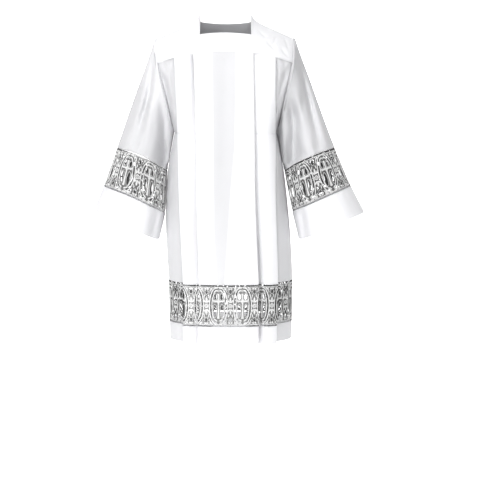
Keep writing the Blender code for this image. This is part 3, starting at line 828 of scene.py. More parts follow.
def crease_depth(x, z, creases, plane, way=1):
    """How deep the creases are at places seen from the front, or their mirror images where way is -1.

    Each is a bell of the distance to its path.
    """
    depth = np.zeros(x.shape)
    places = np.stack([x * way, z], axis=-1)
    for crease in creases:
        path = smooth_path(from_photo(crease.path, plane), CREASE_STEP)
        width = crease.width * VIEW_WIDTH / PHOTO_WIDTH
        low, high = path.min(axis=0) - CREASE_REACH * width, path.max(axis=0) + CREASE_REACH * width
        near = ((places > low) & (places < high)).all(axis=-1)
        start, step = path[:-1], np.diff(path, axis=0)
        offset = places[near][:, None] - start
        share = np.clip((offset * step).sum(-1) / (step * step).sum(-1), 0, 1)
        away = np.linalg.norm(offset - share[..., None] * step, axis=-1)
        nearest = away.argmin(axis=1)
        one = np.arange(len(nearest))
        along = (nearest + share[one, nearest]) / len(step)
        fade_in, fade_out = (max(fade, CREASE_LEAST_FADE) for fade in (crease.fade_in, crease.fade_out))
        fades = ease(along / fade_in) * ease((1 - along) / fade_out)
        depth[near] += crease.depth / MM * np.exp(-((away[one, nearest] / width) ** 2)) * fades
    return depth


def drape(across, down):
    """Slow uneven waves in the cloth: sines of the two directions whose lengths don't fit each other."""
    return (
        0.50 * np.sin(across * 31 + 2.1 * np.sin(down * 4.3))
        + 0.35 * np.sin(across * 57 + down * 5.1 + 1.3)
        + 0.25 * np.sin(across * 93 - down * 8.7 + 4.0)
    )


def puckers(across, distance):
    """Short uneven puckers that die away from a seam: sines across, and an exponential of the distance."""
    waves = np.sin(across * 188 + 1.7 * np.sin(across * 41)) + 0.6 * np.sin(across * 301 + 2.0)
    return PUCKER * waves * np.exp(-np.abs(distance) / PUCKER_REACH) * ease(np.abs(distance) / PUCKER_STARTS)


def normals(grid, outward):
    """Unit normals of a grid: the cross product of its two directions."""
    across, along = np.gradient(grid, axis=1), np.gradient(grid, axis=0)
    normal = np.cross(across, along) * outward
    return normal / np.maximum(np.linalg.norm(normal, axis=2, keepdims=True), 1e-12)


def yoke_grid(face):
    """One yoke's points, rows from the ridge to the seam, and which of its cells are cloth.

    A column is a superellipse arc from the ridge down to the seam, and the square neck is left out. The sides
    end on the armhole's line, whose place depends on their own height, so that is found in a few rounds.
    """
    beside = np.linspace(0, 1, YOKE_SIDE_COLUMNS + 1)[1:] ** YOKE_SIDE_SPACING
    inner = np.sin(np.linspace(-1, 1, YOKE_NECK_COLUMNS) * math.pi / 2)
    across = np.concatenate([-1 - beside[::-1], inner, 1 + beside])
    side = np.where(across < 0, -1, 1)
    at_neck = np.clip(across, -1, 1) * NECK_HALF
    edge = NECK_BACK_Z + 0 * across
    if face == "front":
        edge = NECK_FRONT_Z - NECK_FRONT_DIP * (at_neck / NECK_HALF) ** 2
    rise = (edge - seam_z(at_neck)) / (ridge_z(at_neck) - seam_z(at_neck))
    neck_angle = np.arccos(rise ** (YOKE_PROFILE / 2))
    upper = neck_angle[0] * np.linspace(0, 1, YOKE_NECK_ROW + 1)[:-1]
    lower = np.linspace(0, 1, YOKE_LOWER_ROWS) ** YOKE_LOWER_SPACING
    angles = np.concatenate([
        upper[:, None] + 0 * neck_angle,
        mix(neck_angle, math.pi / 2, lower[:, None]),
    ])
    beyond = np.clip(np.abs(across) - 1, 0, 1)
    x = at_neck + 0 * angles
    for _ in range(YOKE_ROUNDS):
        z = seam_z(x) + (ridge_z(x) - seam_z(x)) * np.cos(angles) ** (2 / YOKE_PROFILE)
        ends = np.where(side < 0, -armhole_x(z, -1), armhole_x(z, 1))
        x = mix(at_neck, ends, beyond)
    seam = seam_z(x)
    plan = np.where(side < 0, wall_y(x, seam, face, -1), wall_y(x, seam, face, 1))
    y = plan * np.sin(angles) ** (2 / YOKE_PROFILE)
    beside_neck = np.exp(-np.clip(np.abs(x) - NECK_HALF, 0, None) / NECK_RISE_REACH)
    z = z + NECK_RISE * beside_neck * np.cos(angles) ** NECK_RISE_POWER
    way = -1 if face == "front" else 1
    points = np.stack([x, way * y, z], axis=2)
    inwards = crease_depth(x, z, YOKE_CREASES[-1] + YOKE_CREASES[1], SLEEVE_FRONT_Y, -way)
    inwards += YOKE_WAVE * drape(x, z) * ease(angles / YOKE_WAVE_FROM)
    facing = neck_groove(points, np.abs(across), NECK_STITCHES[1])
    points = points + normals(points, way) * (YOKE_OUT - inwards - facing)[..., None]
    points[0, :, 1] = 0
    points[:, 0, 0] = -armhole_x(points[:, 0, 2], -1)
    points[:, -1, 0] = armhole_x(points[:, -1, 2], 1)
    cells = np.ones((len(angles) - 1, len(across) - 1), bool)
    cells[: len(upper), np.abs(across[:-1] + across[1:]) < 2] = False
    return points, cells


def neck_groove(points, across, distance):
    """A stitched groove at a distance from the neck's edge, on yoke points: a narrow bell."""
    beside = np.abs(points[..., 0]) - NECK_HALF
    edge = points[YOKE_NECK_ROW, :, :]
    below = np.linalg.norm(points - edge, axis=2)
    rows = np.arange(len(points))[:, None]
    inner = (across <= 1) & (rows >= YOKE_NECK_ROW)
    corner = np.hypot(np.clip(beside, 0, None), np.where(rows >= YOKE_NECK_ROW, below, 0))
    away = np.where(inner, below, corner)
    return NECK_GROOVE * np.exp(-(((away - distance) / NECK_GROOVE_HALF) ** 2))


def beside_folds(grid, rows, face):
    """A narrow trough in each lower panel beside the fold over it: a bell of the distance to the fold."""
    middle = grid.shape[1] // 2
    columns = np.arange(grid.shape[1])
    depth = np.zeros(grid.shape[:2])
    low = ease((YOKE_SEAM_Z - rows) / FOLD_TROUGH_REACH)[:, None]
    centre = through(BODY, "centre_x", rows)[:, None]
    for side in (-1, 1):
        out = (columns - middle) * side
        first = PANEL_COLUMNS
        for k, stretch in enumerate((STEP_COLUMNS, SIDE_COLUMNS)):
            first += 2 * TURN_COLUMNS + LAP_COLUMNS
            lower = (out > first) & (out <= first + stretch)
            fold = PleatAt(PLEATS[face, side][k], rows).fold[:, None] * side + centre
            away = (grid[:, lower, 0] - fold) * side
            trough = FOLD_TROUGHS[face, side][k]
            bell = np.exp(-((np.clip(away, 0, None) / mix(trough.width_top, trough.width_low, low)) ** 2))
            depth[:, lower] += mix(trough.top, trough.low, low) * bell * ease(1 + away / FOLD_TROUGH_BEHIND)
            first += stretch
    return depth * ease((YOKE_SEAM_Z - rows)[:, None] / FOLD_TROUGH_STARTS)


def body_grid(face):
    """One face's points from under the yoke to the hem, creased, waved and puckered, and its rows."""
    rows = body_rows()
    grid = face_grid(rows, face)
    x, z = grid[..., 0], grid[..., 2]
    way = -1 if face == "front" else 1
    creased = crease_depth(x, z, BODY_CREASES[-1] + BODY_CREASES[1], BODY_FRONT_Y, -way)
    from_end = np.minimum(np.arange(grid.shape[1]), np.arange(grid.shape[1])[::-1])
    on_side = ease((SIDE_COLUMNS - from_end) / SIDE_CREASE_COLUMNS)
    creased += on_side * crease_depth(x, z, SIDE_CREASES[-1] + SIDE_CREASES[1], BODY_FRONT_Y, -way)
    inwards = WAVE * drape(x + BACK_WAVE * (way > 0), z) * down_share(z)
    below_yoke = seam_z(x) - z
    puffs = ease((below_yoke + SEAM_PUFF_EDGE) / (2 * SEAM_PUFF_EDGE))
    inwards -= SEAM_PUFF * puffs * np.exp(-np.clip(below_yoke, 0, None) / SEAM_PUFF_REACH)
    above_lace, below_lace = z - LACE_TOP_Z, z - LACE_BOTTOM_Z
    cloth = (z > LACE_TOP_Z) | (z < LACE_BOTTOM_Z)
    inwards += cloth * (puckers(x, above_lace) + puckers(x + PUCKER_BELOW, below_lace))
    inwards += groove([above_lace, below_lace])
    sides = np.linspace(-1, 1, grid.shape[1])
    above = (rows >= UNDERARM_Z)[:, None] * np.ones(grid.shape[1])
    from_armhole = np.minimum(armhole_x(z, -1) + x, armhole_x(z, 1) - x)
    keep = ease(from_armhole / ARMHOLE_KEEP) * above + (1 - above)
    keep = keep * (1 - np.abs(sides) ** SIDE_KEEP_POWER * (z < UNDERARM_Z + SIDE_KEEP_ABOVE))
    made = grid - normals(grid, way) * (inwards * keep)[..., None]
    made[..., 1] -= way * creased * keep * ease(np.abs(grid[..., 1]) / BODY_CREASE_Y)
    made[..., 1] -= way * keep * beside_folds(grid, rows, face)
    return made, rows


def armhole_edge(face, side):
    """Heights and depths of the edge that a sleeve is sewn to, from the underarm up to the shoulder."""
    yoke, _ = yoke_grid(face)
    column = -1 if side > 0 else 0
    body, rows = body_grid(face)
    body = body[rows >= UNDERARM_Z - 1e-9]
    body = body[body[:, column, 2] < yoke[-1, column, 2] - YOKE_LAP_BELOW]
    edge = np.concatenate([yoke[:, column], body[:, column]])[::-1]
    return edge[:, 2], np.abs(edge[:, 1])


def armhole_loop(side, angle):
    """Points round the armhole from the shoulder through the front, the way out of it, and each one's sink."""
    front, back = armhole_edge("front", side), armhole_edge("back", side)
    z = mix(front[0][0], front[0][-1], (1 + np.cos(angle)) / 2)
    ahead = np.sin(angle) > 0
    y = np.where(ahead, -np.interp(z, *front), np.interp(z, *back))
    sunk = np.where(ahead, -armhole_sink(z, "front"), armhole_sink(z, "back"))
    sunk = sunk * np.abs(np.sin(angle)) ** 0.5
    line = ARMHOLES[side]
    lean = (line.shoulder_x - line.underarm_x) / (SHOULDER_Z - UNDERARM_Z)
    out = np.array([side, 0, -lean]) / math.hypot(1, lean)
    return np.stack([side * armhole_x(z, side), y, z], axis=-1) + out * ARMHOLE_SEAM, out, sunk


def fold_depth(side, places, angle):
    """How deep the soft folds are at each place and angle: a bell across, level ends along."""
    depth = 0
    for fold in SLEEVE_FOLDS[side]:
        centre = np.radians(mix(fold.top, fold.bottom, places))
        bell = np.exp(-(((angle - centre) / math.radians(fold.width)) ** 2))
        starts = ease((places - fold.first) / FOLD_IN)
        ends = 1 - ease((places - fold.last + FOLD_OUT / 2) / FOLD_OUT)
        depth = depth + fold.depth * bell * starts * ends
    return depth


def sleeve_rows():
    """Places of a sleeve's rows: those of the cap, and then closer ones beside every seam."""
    cap = np.linspace(0, CAP_ROWS_AT, CAP_ROWS + 1)[:-1]
    edges = (CAP_ROWS_AT, LACE_AT, CUFF_AT, CUFF_END_AT)
    return np.concatenate([cap, near_seams(edges, SLEEVE_STEP_AT, SLEEVE_CLOSER_AT)])


def sleeve_rings(side, places, angle):
    """A sleeve's rings: each an ellipse between its outer and inner edge, with the soft folds in it.

    The middle of its front is lifted by a squared sine, and its inner corner by a bell.
    """
    at = {name: through(SLEEVES[side], name, places) for name in Ring._fields[1:]}
    outer = np.stack([at["outer_x"], at["outer_z"]])
    inner = np.stack([at["inner_x"], at["inner_z"]])
    half = (outer - inner) / 2
    dent = fold_depth(side, places, angle)
    cosine, sine = np.cos(angle) * (1 - dent / np.hypot(half[0], half[1])), np.sin(angle)
    from_inner = np.degrees(angle - math.pi)
    corner = at["corner"] * np.exp(-((from_inner / CORNER_WIDTH) ** 2))
    x = (outer + inner)[0] / 2 + half[0] * cosine
    z = (outer + inner)[1] / 2 + half[1] * cosine
    z = z + at["lift"] * np.clip(sine, 0, 1) ** 2 + corner
    y = -(at["half_depth"] - dent) * sine - at["forward"]
    return np.stack([side * x, y, z], axis=2)


def sleeve_cap(side, places, angle):
    """The armhole's loop carried down the sleeve: it stands out, and rolls by a half sine to its end."""
    loop, out, sunk = armhole_loop(side, angle)
    upper = ease((1 + np.cos(angle)) / CAP_OUT_SHARE)
    stands_out = mix(CAP_OUT_UNDER, CAP_OUT, upper) * ease(places / CAP_OUT_AT)
    cap = loop + out * stands_out[..., None]
    roll = CAP_ROLL * np.sin(math.pi * np.clip(places / CAP_BLEND_AT, 0, 1) ** 0.5)
    cap[..., 1] += sunk * (1 - np.exp(-((places / CAP_SUNK_AT) ** 2))) - roll * np.sin(angle)
    cap[..., 2] += roll * np.clip(np.cos(angle), 0, 1) * CAP_ROLL_UP
    return cap


def sleeve_creases(side, grid, facing, places):
    """How far the creases move a sleeve's points back: its own in front, and the other sleeve's behind."""
    x, z = grid[..., 0], grid[..., 2]
    creased = crease_depth(x, z, SLEEVE_CREASES[side], SLEEVE_FRONT_Y) * np.clip(-facing, 0, 1)
    creased -= crease_depth(x, z, SLEEVE_CREASES[-side], SLEEVE_FRONT_Y, -1) * np.clip(facing, 0, 1)
    into_lace = ease((places - LACE_AT + IN_LACE_ABOVE) / IN_LACE_ABOVE)
    out_of_lace = ease((CUFF_AT + IN_LACE_BELOW - places) / IN_LACE_BELOW)
    return creased * (ease(places / CREASE_FROM) * (1 - IN_LACE * into_lace * out_of_lace))


def sleeve_grid(side):
    """Rings of one sleeve from the armhole to the cuff's edge, with the first column again as the last.

    The first ones blend from the armhole's own loop. Waves, puckers, the seams' grooves and the swelling
    beside the underarm follow the normals, and the creases go straight back.
    """
    rows = sleeve_rows()
    places = rows[:, None]
    angle = np.linspace(0, 2 * math.pi, SLEEVE_COLUMNS + 1)[None, :]
    blend = ease(places / CAP_BLEND_AT)[..., None]
    grid = mix(sleeve_cap(side, places, angle), sleeve_rings(side, places, angle), blend)
    normal = normals(np.concatenate([grid[:, -2:-1], grid, grid[:, 1:2]], axis=1), side)[:, 1:-1]
    creased = sleeve_creases(side, grid, CREASE_FACING * normal[..., 1], places)
    waves = drape(angle * WAVE_ROUND, places * WAVE_ALONG)
    inwards = SLEEVE_WAVE * waves * ease(places / SLEEVE_WAVE_FROM)
    above, below = (places - LACE_AT) * CLOTH_ALONG, (places - CUFF_AT) * LACE_ALONG
    cloth = (places < LACE_AT) | (places > CUFF_AT)
    round_it = angle * PUCKER_ROUND
    inwards += cloth * (puckers(round_it, above) + puckers(round_it + PUCKER_BELOW_SLEEVE, below))
    inwards += groove([above, below])
    swells = np.exp(-(((np.degrees(angle) - INNER_BULGE_ANGLE) / INNER_BULGE_WIDTH) ** 2))
    swells = INNER_BULGE * swells * ease(places / INNER_BULGE_IN)
    inwards = inwards - swells * ease((INNER_BULGE_END - places) / INNER_BULGE_OUT)
    grid = grid - normal * inwards[..., None]
    grid[..., 1] += creased
    return grid, rows


def lengths(grid):
    """Distance along the rows to each column, and down the columns to each row, each as a mean."""
    across = np.linalg.norm(np.diff(grid, axis=1), axis=2).mean(axis=0)
    along = np.linalg.norm(np.diff(grid, axis=0), axis=2).mean(axis=1)
    return np.concatenate([[0], np.cumsum(across)]), np.concatenate([[0], np.cumsum(along)])


def mesh_object(name, points, faces, uv, finish):
    """A smooth mesh at the origin from arrays of points, faces and a place on the cloth for each point."""
    mesh = bpy.data.meshes.new(name)
    mesh.from_pydata(np.asarray(points).tolist(), [], np.asarray(faces).tolist())
    layer = mesh.uv_layers.new(name="cloth")
    corners = np.empty(len(mesh.loops), np.int32)
    mesh.loops.foreach_get("vertex_index", corners)
    layer.data.foreach_set("uv", np.asarray(uv, np.float32)[corners].ravel())
    mesh.polygons.foreach_set("use_smooth", np.ones(len(mesh.polygons), bool))
    mesh.materials.append(finish)
    made = bpy.data.objects.new(name, mesh)
    bpy.context.scene.collection.objects.link(made)
    return made


def thickened(piece, thickness):
    """The piece with a wall, half to each side, and crisp edges where the wall ends."""
    wall = piece.modifiers.new("wall", "SOLIDIFY")
    wall.thickness = thickness
    wall.offset = 0
    bpy.context.view_layer.update()
    graph = bpy.context.evaluated_depsgraph_get()
    mesh = bpy.data.meshes.new_from_object(piece.evaluated_get(graph))
    mesh.set_sharp_from_angle(angle=CRISP)
    piece.modifiers.clear()
    piece.data = mesh
    return piece


def grid_faces(rows, columns, outward, cells=None):
    """Quads of a grid, turned so that they face outwards."""
    index = np.arange(rows * columns).reshape(rows, columns)
    corners = np.stack([index[:-1, :-1], index[:-1, 1:], index[1:, 1:], index[1:, :-1]], axis=2)
    corners = corners.reshape(-1, 4) if cells is None else corners[cells]
    return corners[:, ::outward]


def grid_piece(name, grid, thickness, finish, outward, tube=False, cells=None, thin_and_shade=None):
    """A cloth piece from a grid of points. On a tube the last column closes on the first."""
    rows, columns = grid.shape[:2]
    across, along = lengths(grid)
    uv = np.stack(np.broadcast_arrays(across[None, :], -along[:, None]), axis=2).reshape(-1, 2)
    faces = grid_faces(rows, columns, outward, cells)
    used, faces = np.unique(faces, return_inverse=True)
    piece = mesh_object(name, grid.reshape(-1, 3)[used], faces.reshape(-1, 4), uv[used], finish)
    if thin_and_shade is not None:
        set_thin_and_shade(piece, thin_and_shade.reshape(-1)[used])
    if tube:
        weld = piece.modifiers.new("weld", "WELD")
        weld.merge_threshold = CLOSED
    return thickened(piece, thickness)


class Strip:
    """A strip of cloth as a flat sheet: across by length along its middle, and up by height.

    The columns of neighbours before and after it are added, so that a shape can run over its ends.
    """

    def __init__(self, grid, outward, before, after):
        whole = np.concatenate([before, grid, after], axis=1)[::-1]
        self.normal = normals(whole, -outward)
        self.grid = whole
        across = along_line(whole.mean(axis=0))
        self.across = across - across[before.shape[1]]
        self.length = float(self.across[before.shape[1] + grid.shape[1] - 1])
        steps = np.linalg.norm(np.diff(grid, axis=0), axis=2).mean(axis=1)[::-1]
        self.up = np.concatenate([[0], np.cumsum(steps)])
        self.height = float(self.up[-1])

    def columns(self):
        """Where the strip's own columns stand."""
        return self.across[(self.across > -1e-9) & (self.across < self.length + 1e-9)]

    def place(self, flat):
        """Where flat points (across, up, out) lie in space: between the four grid points round each."""
        s = np.clip(flat[:, 0], self.across[0], self.across[-1] - 1e-9)
        t = np.clip(flat[:, 1], 0, self.height - 1e-9)
        i = np.searchsorted(self.across, s, side="right") - 1
        j = np.searchsorted(self.up, t, side="right") - 1
        a = ((s - self.across[i]) / (self.across[i + 1] - self.across[i]))[:, None]
        b = ((t - self.up[j]) / (self.up[j + 1] - self.up[j]))[:, None]

        def between(field):
            low = mix(field[j, i], field[j, i + 1], a)
            return mix(low, mix(field[j + 1, i], field[j + 1, i + 1], a), b)

        normal = between(self.normal)
        normal /= np.linalg.norm(normal, axis=1, keepdims=True)
        return between(self.grid) + normal * flat[:, 2:]


# Shapes of the lace, in millimetres on one flat repeat, from its bottom middle. Each is a path with a
# width along it. Raised ones are low domes, and the others are openings in the net.
Stroke = namedtuple("Stroke", "path width height")


def cord(points, width, height=RELIEF):
    """A smooth run of even width through these points."""
    path = smooth_path(points, CORD_STEP)
    return Stroke(path, np.full(len(path), float(width)), height)


def arc(half_width, half_height, first, last, width, centre=CENTRE, fullness=0.72):
    """Part of an oval with full shoulders, in degrees anticlockwise from the right."""
    turns = abs(last - first) / 360
    count = max(6, round(turns * 2 * (half_width + half_height) / ARC_STEP))
    angle = np.radians(np.linspace(first, last, count))
    x = half_width * np.sign(np.cos(angle)) * np.abs(np.cos(angle)) ** fullness
    path = np.stack([x, half_height * np.sin(angle)], axis=1) + centre
    return Stroke(path, width + 0 * angle, RELIEF)


def ring(centre, radius, width):
    return arc(radius, radius, 0, 360, width, np.array(centre), 1.0)


def scroll(centre, radius, first, turns, width):
    """A spiral that winds in from its radius and swells towards the middle."""
    t = np.linspace(0, 1, SCROLL_POINTS)
    angle = math.radians(first) + 2 * math.pi * turns * t
    reach = radius * (1 - 0.85 * t)
    path = np.stack([reach * np.cos(angle), reach * np.sin(angle)], axis=1) + centre
    return Stroke(path, width * (1 + 0.4 * t), RELIEF)


def leaf(base, tip, width, bend=0.0):
    """A pointed leaf from base to tip, bowed to its left by a share of its length."""
    base, tip = np.array(base, float), np.array(tip, float)
    t = np.linspace(0, 1, LEAF_POINTS)
    along = tip - base
    aside = np.array([-along[1], along[0]])
    path = base + along * t[:, None] + aside * (bend * np.sin(math.pi * t))[:, None]
    return Stroke(path, width * np.sin(math.pi * t**0.85) ** 0.75 + 0.2, LEAF_RELIEF)


def rosette(centre, radius, petals):
    """Leaf-shaped petals round a raised ring."""
    made = [ring(centre, radius * 0.24, radius * 0.24)]
    for k in range(petals):
        angle = 2 * math.pi * (k + 0.5) / petals
        way = np.array([math.cos(angle), math.sin(angle)])
        made.append(leaf(centre + way * radius * 0.36, centre + way * radius, 4.2 * radius / petals))
    return made


def flared_arm(end, narrow, wide):
    """One arm of the cross, from the crossing to its end, which widens by the cube of the way along."""
    t = np.linspace(0, 1, LEAF_POINTS)
    path = CROSSING + (np.array(end, float) - CROSSING) * t[:, None]
    return Stroke(path, mix(narrow, wide, t**3), CROSS_RELIEF)


def both_sides(strokes):
    """The strokes and their mirror images across the repeat's middle."""
    return [*strokes, *(Stroke(one.path * (-1, 1), one.width, one.height) for one in strokes)]


def gap_stroke(gap):
    """A pointed gap: its width is a half sine, up its height."""
    t = np.linspace(0, 1, GAP_POINTS)
    up = REPEAT_HEIGHT * gap.up + 2 * MM * gap.half_height * (t - 0.5)
    path = np.stack([MM * gap.across + 0 * t, up], axis=1)
    return Stroke(path, 2 * MM * gap.half_width * np.sin(math.pi * t) ** 0.8 + 0.1, 0)


def gap_edge(gap):
    """A thin cord round a gap."""
    t = np.linspace(0, 2 * math.pi, GAP_EDGE_POINTS)
    x = (MM * gap.half_width + 0.8) * np.sin(t)
    y = (MM * gap.half_height + 1.4) * np.cos(t)
    path = np.stack([x + MM * gap.across, y + REPEAT_HEIGHT * gap.up], axis=1)
    return cord(path, 1.5, GAP_EDGE_RELIEF)


def raised_work():
    """One repeat's raised strokes: a plain cross in a double ring, with leaves, scrolls and rosettes."""
    edge = REPEAT_WIDTH / 2
    return [
        flared_arm((0, 98), 4.6, 8.0),
        flared_arm((15.5, 75), 4.6, 7.6),
        flared_arm((-15.5, 75), 4.6, 7.6),
        flared_arm((0, 24), 4.8, 8.4),
        ring(CROSSING, 5.6, 2.0),
        ring((0, 105.5), 2.6, 2.2),
        *rosette(np.array([edge, 61.3]), 7.6, 8),
        leaf((edge, 71), (edge, 88), 6.6),
        leaf((edge, 51.6), (edge, 34.6), 6.6),
        *both_sides([
            arc(27.9, 53.1, -89, 89, 3.8),
            arc(20.2, 45.0, -86, 86, 2.8),
            arc(33.6, 58.6, 42, 66, 2.6),
            arc(33.6, 58.6, -66, -42, 2.6),
            leaf((2.5, 17.6), (14.5, 25.5), 5.0, -0.12),
            scroll((6.4, 12.2), 3.4, 250, 1.1, 1.8),
            leaf((3.0, 109.0), (14.5, 99.5), 4.2, 0.10),
            cord([(17.6, 30), (19.0, 40), (19.0, 52), (18.2, 64)], 1.8, LOW_RELIEF),
            leaf((15.8, 82), (17.4, 72), 3.0),
            leaf((edge, 71), (29.5, 80), 4.6, 0.15),
            leaf((edge, 51.6), (29.5, 42.5), 4.6, -0.15),
            leaf((31.0, 95.5), (28.6, 84), 3.6, 0.1),
            leaf((31.0, 27.0), (28.6, 38.5), 3.6, -0.1),
            scroll((22.6, 110.2), 3.6, 200, -1.1, 2.2),
            scroll((22.6, 12.4), 3.6, 160, 1.1, 2.2),
            leaf((12.4, 114.6), (4.4, 117.0), 3.6, -0.1),
            leaf((12.4, 8.0), (4.4, 5.8), 3.6, 0.1),
            leaf((edge - 0.6, 113.6), (29.2, 110.4), 3.8, 0.12),
            leaf((edge - 0.6, 9.0), (29.2, 12.2), 3.8, -0.12),
        ]),
        *(gap_edge(gap) for gap in LACE_GAPS),
    ]


def openings():
    """One repeat's openings: the solids' gaps, slits round the rings, and small ones by each edge."""
    made = [gap_stroke(gap) for gap in LACE_GAPS]
    slits = []
    for first, last in ((-80, -56), (-51, -29), (-24, -3), (3, 24), (29, 51), (56, 80)):
        slits.append(arc(24.1, 49.2, first, last, 4.1))
    for first, last in ((40, 52), (55, 68), (-52, -40), (-68, -55)):
        slits.append(arc(31.2, 56.2, first, last, 3.4))
    slits += [
        leaf((30.6, 66.5), (28.6, 77.5), 3.0),
        leaf((30.6, 56.0), (28.6, 45.0), 3.0),
        leaf((34.2, 91.6), (31.8, 85.4), 2.6),
        leaf((34.2, 31.0), (31.8, 37.2), 2.6),
        leaf((12.0, 108.6), (18.6, 105.2), 2.8),
        leaf((9.6, 19.4), (16.6, 19.8), 2.8),
        leaf((17.6, 115.2), (26.4, 115.6), 3.0),
        leaf((17.6, 7.4), (26.4, 7.0), 3.0),
        leaf((29.0, 106.6), (35.6, 110.4), 2.8),
        leaf((29.0, 16.0), (35.6, 12.2), 2.8),
    ]
    made += both_sides(slits)
    ladder = REPEAT_WIDTH / LADDER_STEPS
    for k in range(LADDER_STEPS):
        x = (k + 0.5) * ladder - REPEAT_WIDTH / 2
        for y in (LADDER_UP, REPEAT_HEIGHT - LADDER_UP):
            path = np.array([(x - LADDER_HALF * ladder, y), (x, y), (x + LADDER_HALF * ladder, y)])
            made.append(Stroke(path, np.full(3, LADDER_HEIGHT), 0))
    return made


def edging(length):
    """Cords along both edges of a strip of this length, with a row of small arches inside each."""
    cords = np.arange(0, length, EDGE_CORD_STEP)
    arches = np.arange(0, length, ARCH_STEP)
    made = []
    for at, way in ((EDGE_CORD_UP, 1), (REPEAT_HEIGHT - EDGE_CORD_UP, -1)):
        level = np.stack([cords, at + 0 * cords], axis=1)
        made.append(Stroke(level, EDGE_CORD_WIDTH + 0 * cords, RELIEF))
        up = at + way * ARCH_RISE * np.abs(np.sin(math.pi * arches / ARCH_SPAN))
        made.append(Stroke(np.stack([arches, up], axis=1), ARCH_WIDTH + 0 * arches, LOW_RELIEF))
    return made


def sides_of(stroke):
    """The two long edges of a stroke."""
    step = np.gradient(stroke.path, axis=0)
    step /= np.maximum(np.linalg.norm(step, axis=1, keepdims=True), 1e-9)
    aside = np.stack([-step[:, 1], step[:, 0]], axis=1) * stroke.width[:, None] / 2
    return stroke.path + aside, stroke.path - aside


def inside(points, outline):
    """Which points lie inside a closed outline: those whose ray crosses it an odd number of times."""
    found = np.zeros(len(points), bool)
    near = ((points > outline.min(axis=0)) & (points < outline.max(axis=0))).all(axis=1)
    x, y = points[near, :1], points[near, 1:]
    start, end = outline, np.roll(outline, -1, axis=0)
    straddles = (start[:, 1] > y) != (end[:, 1] > y)
    rise = np.where(end[:, 1] == start[:, 1], 1, end[:, 1] - start[:, 1])
    crossing = start[:, 0] + (y - start[:, 1]) / rise * (end[:, 0] - start[:, 0])
    found[near] = (straddles & (x < crossing)).sum(axis=1) % 2 == 1
    return found


def lace_shade_share(points, face):
    """Painted shade on the lace: a table across the front, its mirror image on the back, one share a sleeve.
    """
    if face is None:
        return np.where(points[:, 0] < 0, *SLEEVE_LACE_PAINTED_SHADE)
    x, share = np.array(LACE_PAINTED_SHADE).T
    return np.interp(points[:, 0] if face == "front" else -points[:, 0], x, share)


def set_thin_and_shade(piece, shares):
    """How thin the cloth is, and how much painted shade lies on it, at each point, for its material."""
    layer = piece.data.attributes.new("thin_and_shade", "FLOAT", "POINT")
    layer.data.foreach_set("value", np.asarray(shares, np.float32))


def net_ground(name, strip, repeats, finish, outward, face=None):
    """The net of a lace strip: a constrained triangulation of the flat strip, without its openings."""
    flat, edges, outlines = [], [], []

    def add(points, closed):
        first, count = len(flat), len(points)
        flat.extend(map(tuple, points))
        edges.extend((first + i, first + (i + 1) % count) for i in range(count if closed else count - 1))

    columns, levels = strip.columns(), np.linspace(0, strip.height, NET_LEVELS)
    for s in columns:
        add([(s, t) for t in levels], closed=False)
    for t in (0.0, strip.height):
        add([(s, t) for s in columns], closed=False)
    width = strip.length / repeats
    scale = np.array([width / REPEAT_WIDTH, strip.height / REPEAT_HEIGHT])
    for opening in openings():
        left, right = sides_of(opening)
        outline = np.concatenate([left, right[::-1]]) * scale
        for k in range(-1, repeats + 1):
            placed = outline + ((k + 0.5) * width, 0)
            if placed[:, 0].max() > NET_END and placed[:, 0].min() < strip.length - NET_END:
                outlines.append(placed)
                add(placed, closed=True)
    points, _, triangles, *_ = delaunay_2d_cdt(flat, edges, [], 0, NET_SAME)
    points = np.array([tuple(p) for p in points])
    triangles = np.array([tuple(t) for t in triangles])
    centre = points[triangles].mean(axis=1)
    keep = (centre[:, 0] > 0) & (centre[:, 0] < strip.length)
    for outline in outlines:
        keep &= ~inside(centre, outline)
    used, faces = np.unique(triangles[keep][:, ::-outward], return_inverse=True)
    placed = strip.place(np.column_stack([points[used], np.zeros(len(used))]))
    piece = mesh_object(name, placed, faces.reshape(-1, 3), points[used], finish)
    # Painted shade across the net
    set_thin_and_shade(piece, lace_shade_share(placed, face))
    return thickened(piece, NET)


def domes(strokes):
    """Points (across, up, out) in metres, faces and cloth places of strokes, each a dome along its path."""
    points, faces, places, first = [], [], [], 0
    for stroke in strokes:
        left, right = sides_of(stroke)
        flat = mix(right[:, None], left[:, None], (DOME[None, :, None] + 1) / 2)
        low = np.minimum(1, stroke.width / FULL_WIDTH)[:, None]
        out = MM * NET / 2 - SUNK + stroke.height * DOME_HEIGHT[None, :] * low
        length = along_line(stroke.path)
        points.append(np.concatenate([flat, out[..., None]], axis=2).reshape(-1, 3) / MM)
        across = DOME[None, :] * stroke.width[:, None] / 2
        places.append(np.stack(np.broadcast_arrays(length[:, None], across), axis=2).reshape(-1, 2) / MM)
        faces.append(grid_faces(len(length), len(DOME), 1) + first)
        first += len(length) * len(DOME)
    return np.concatenate(points), np.concatenate(faces), np.concatenate(places)


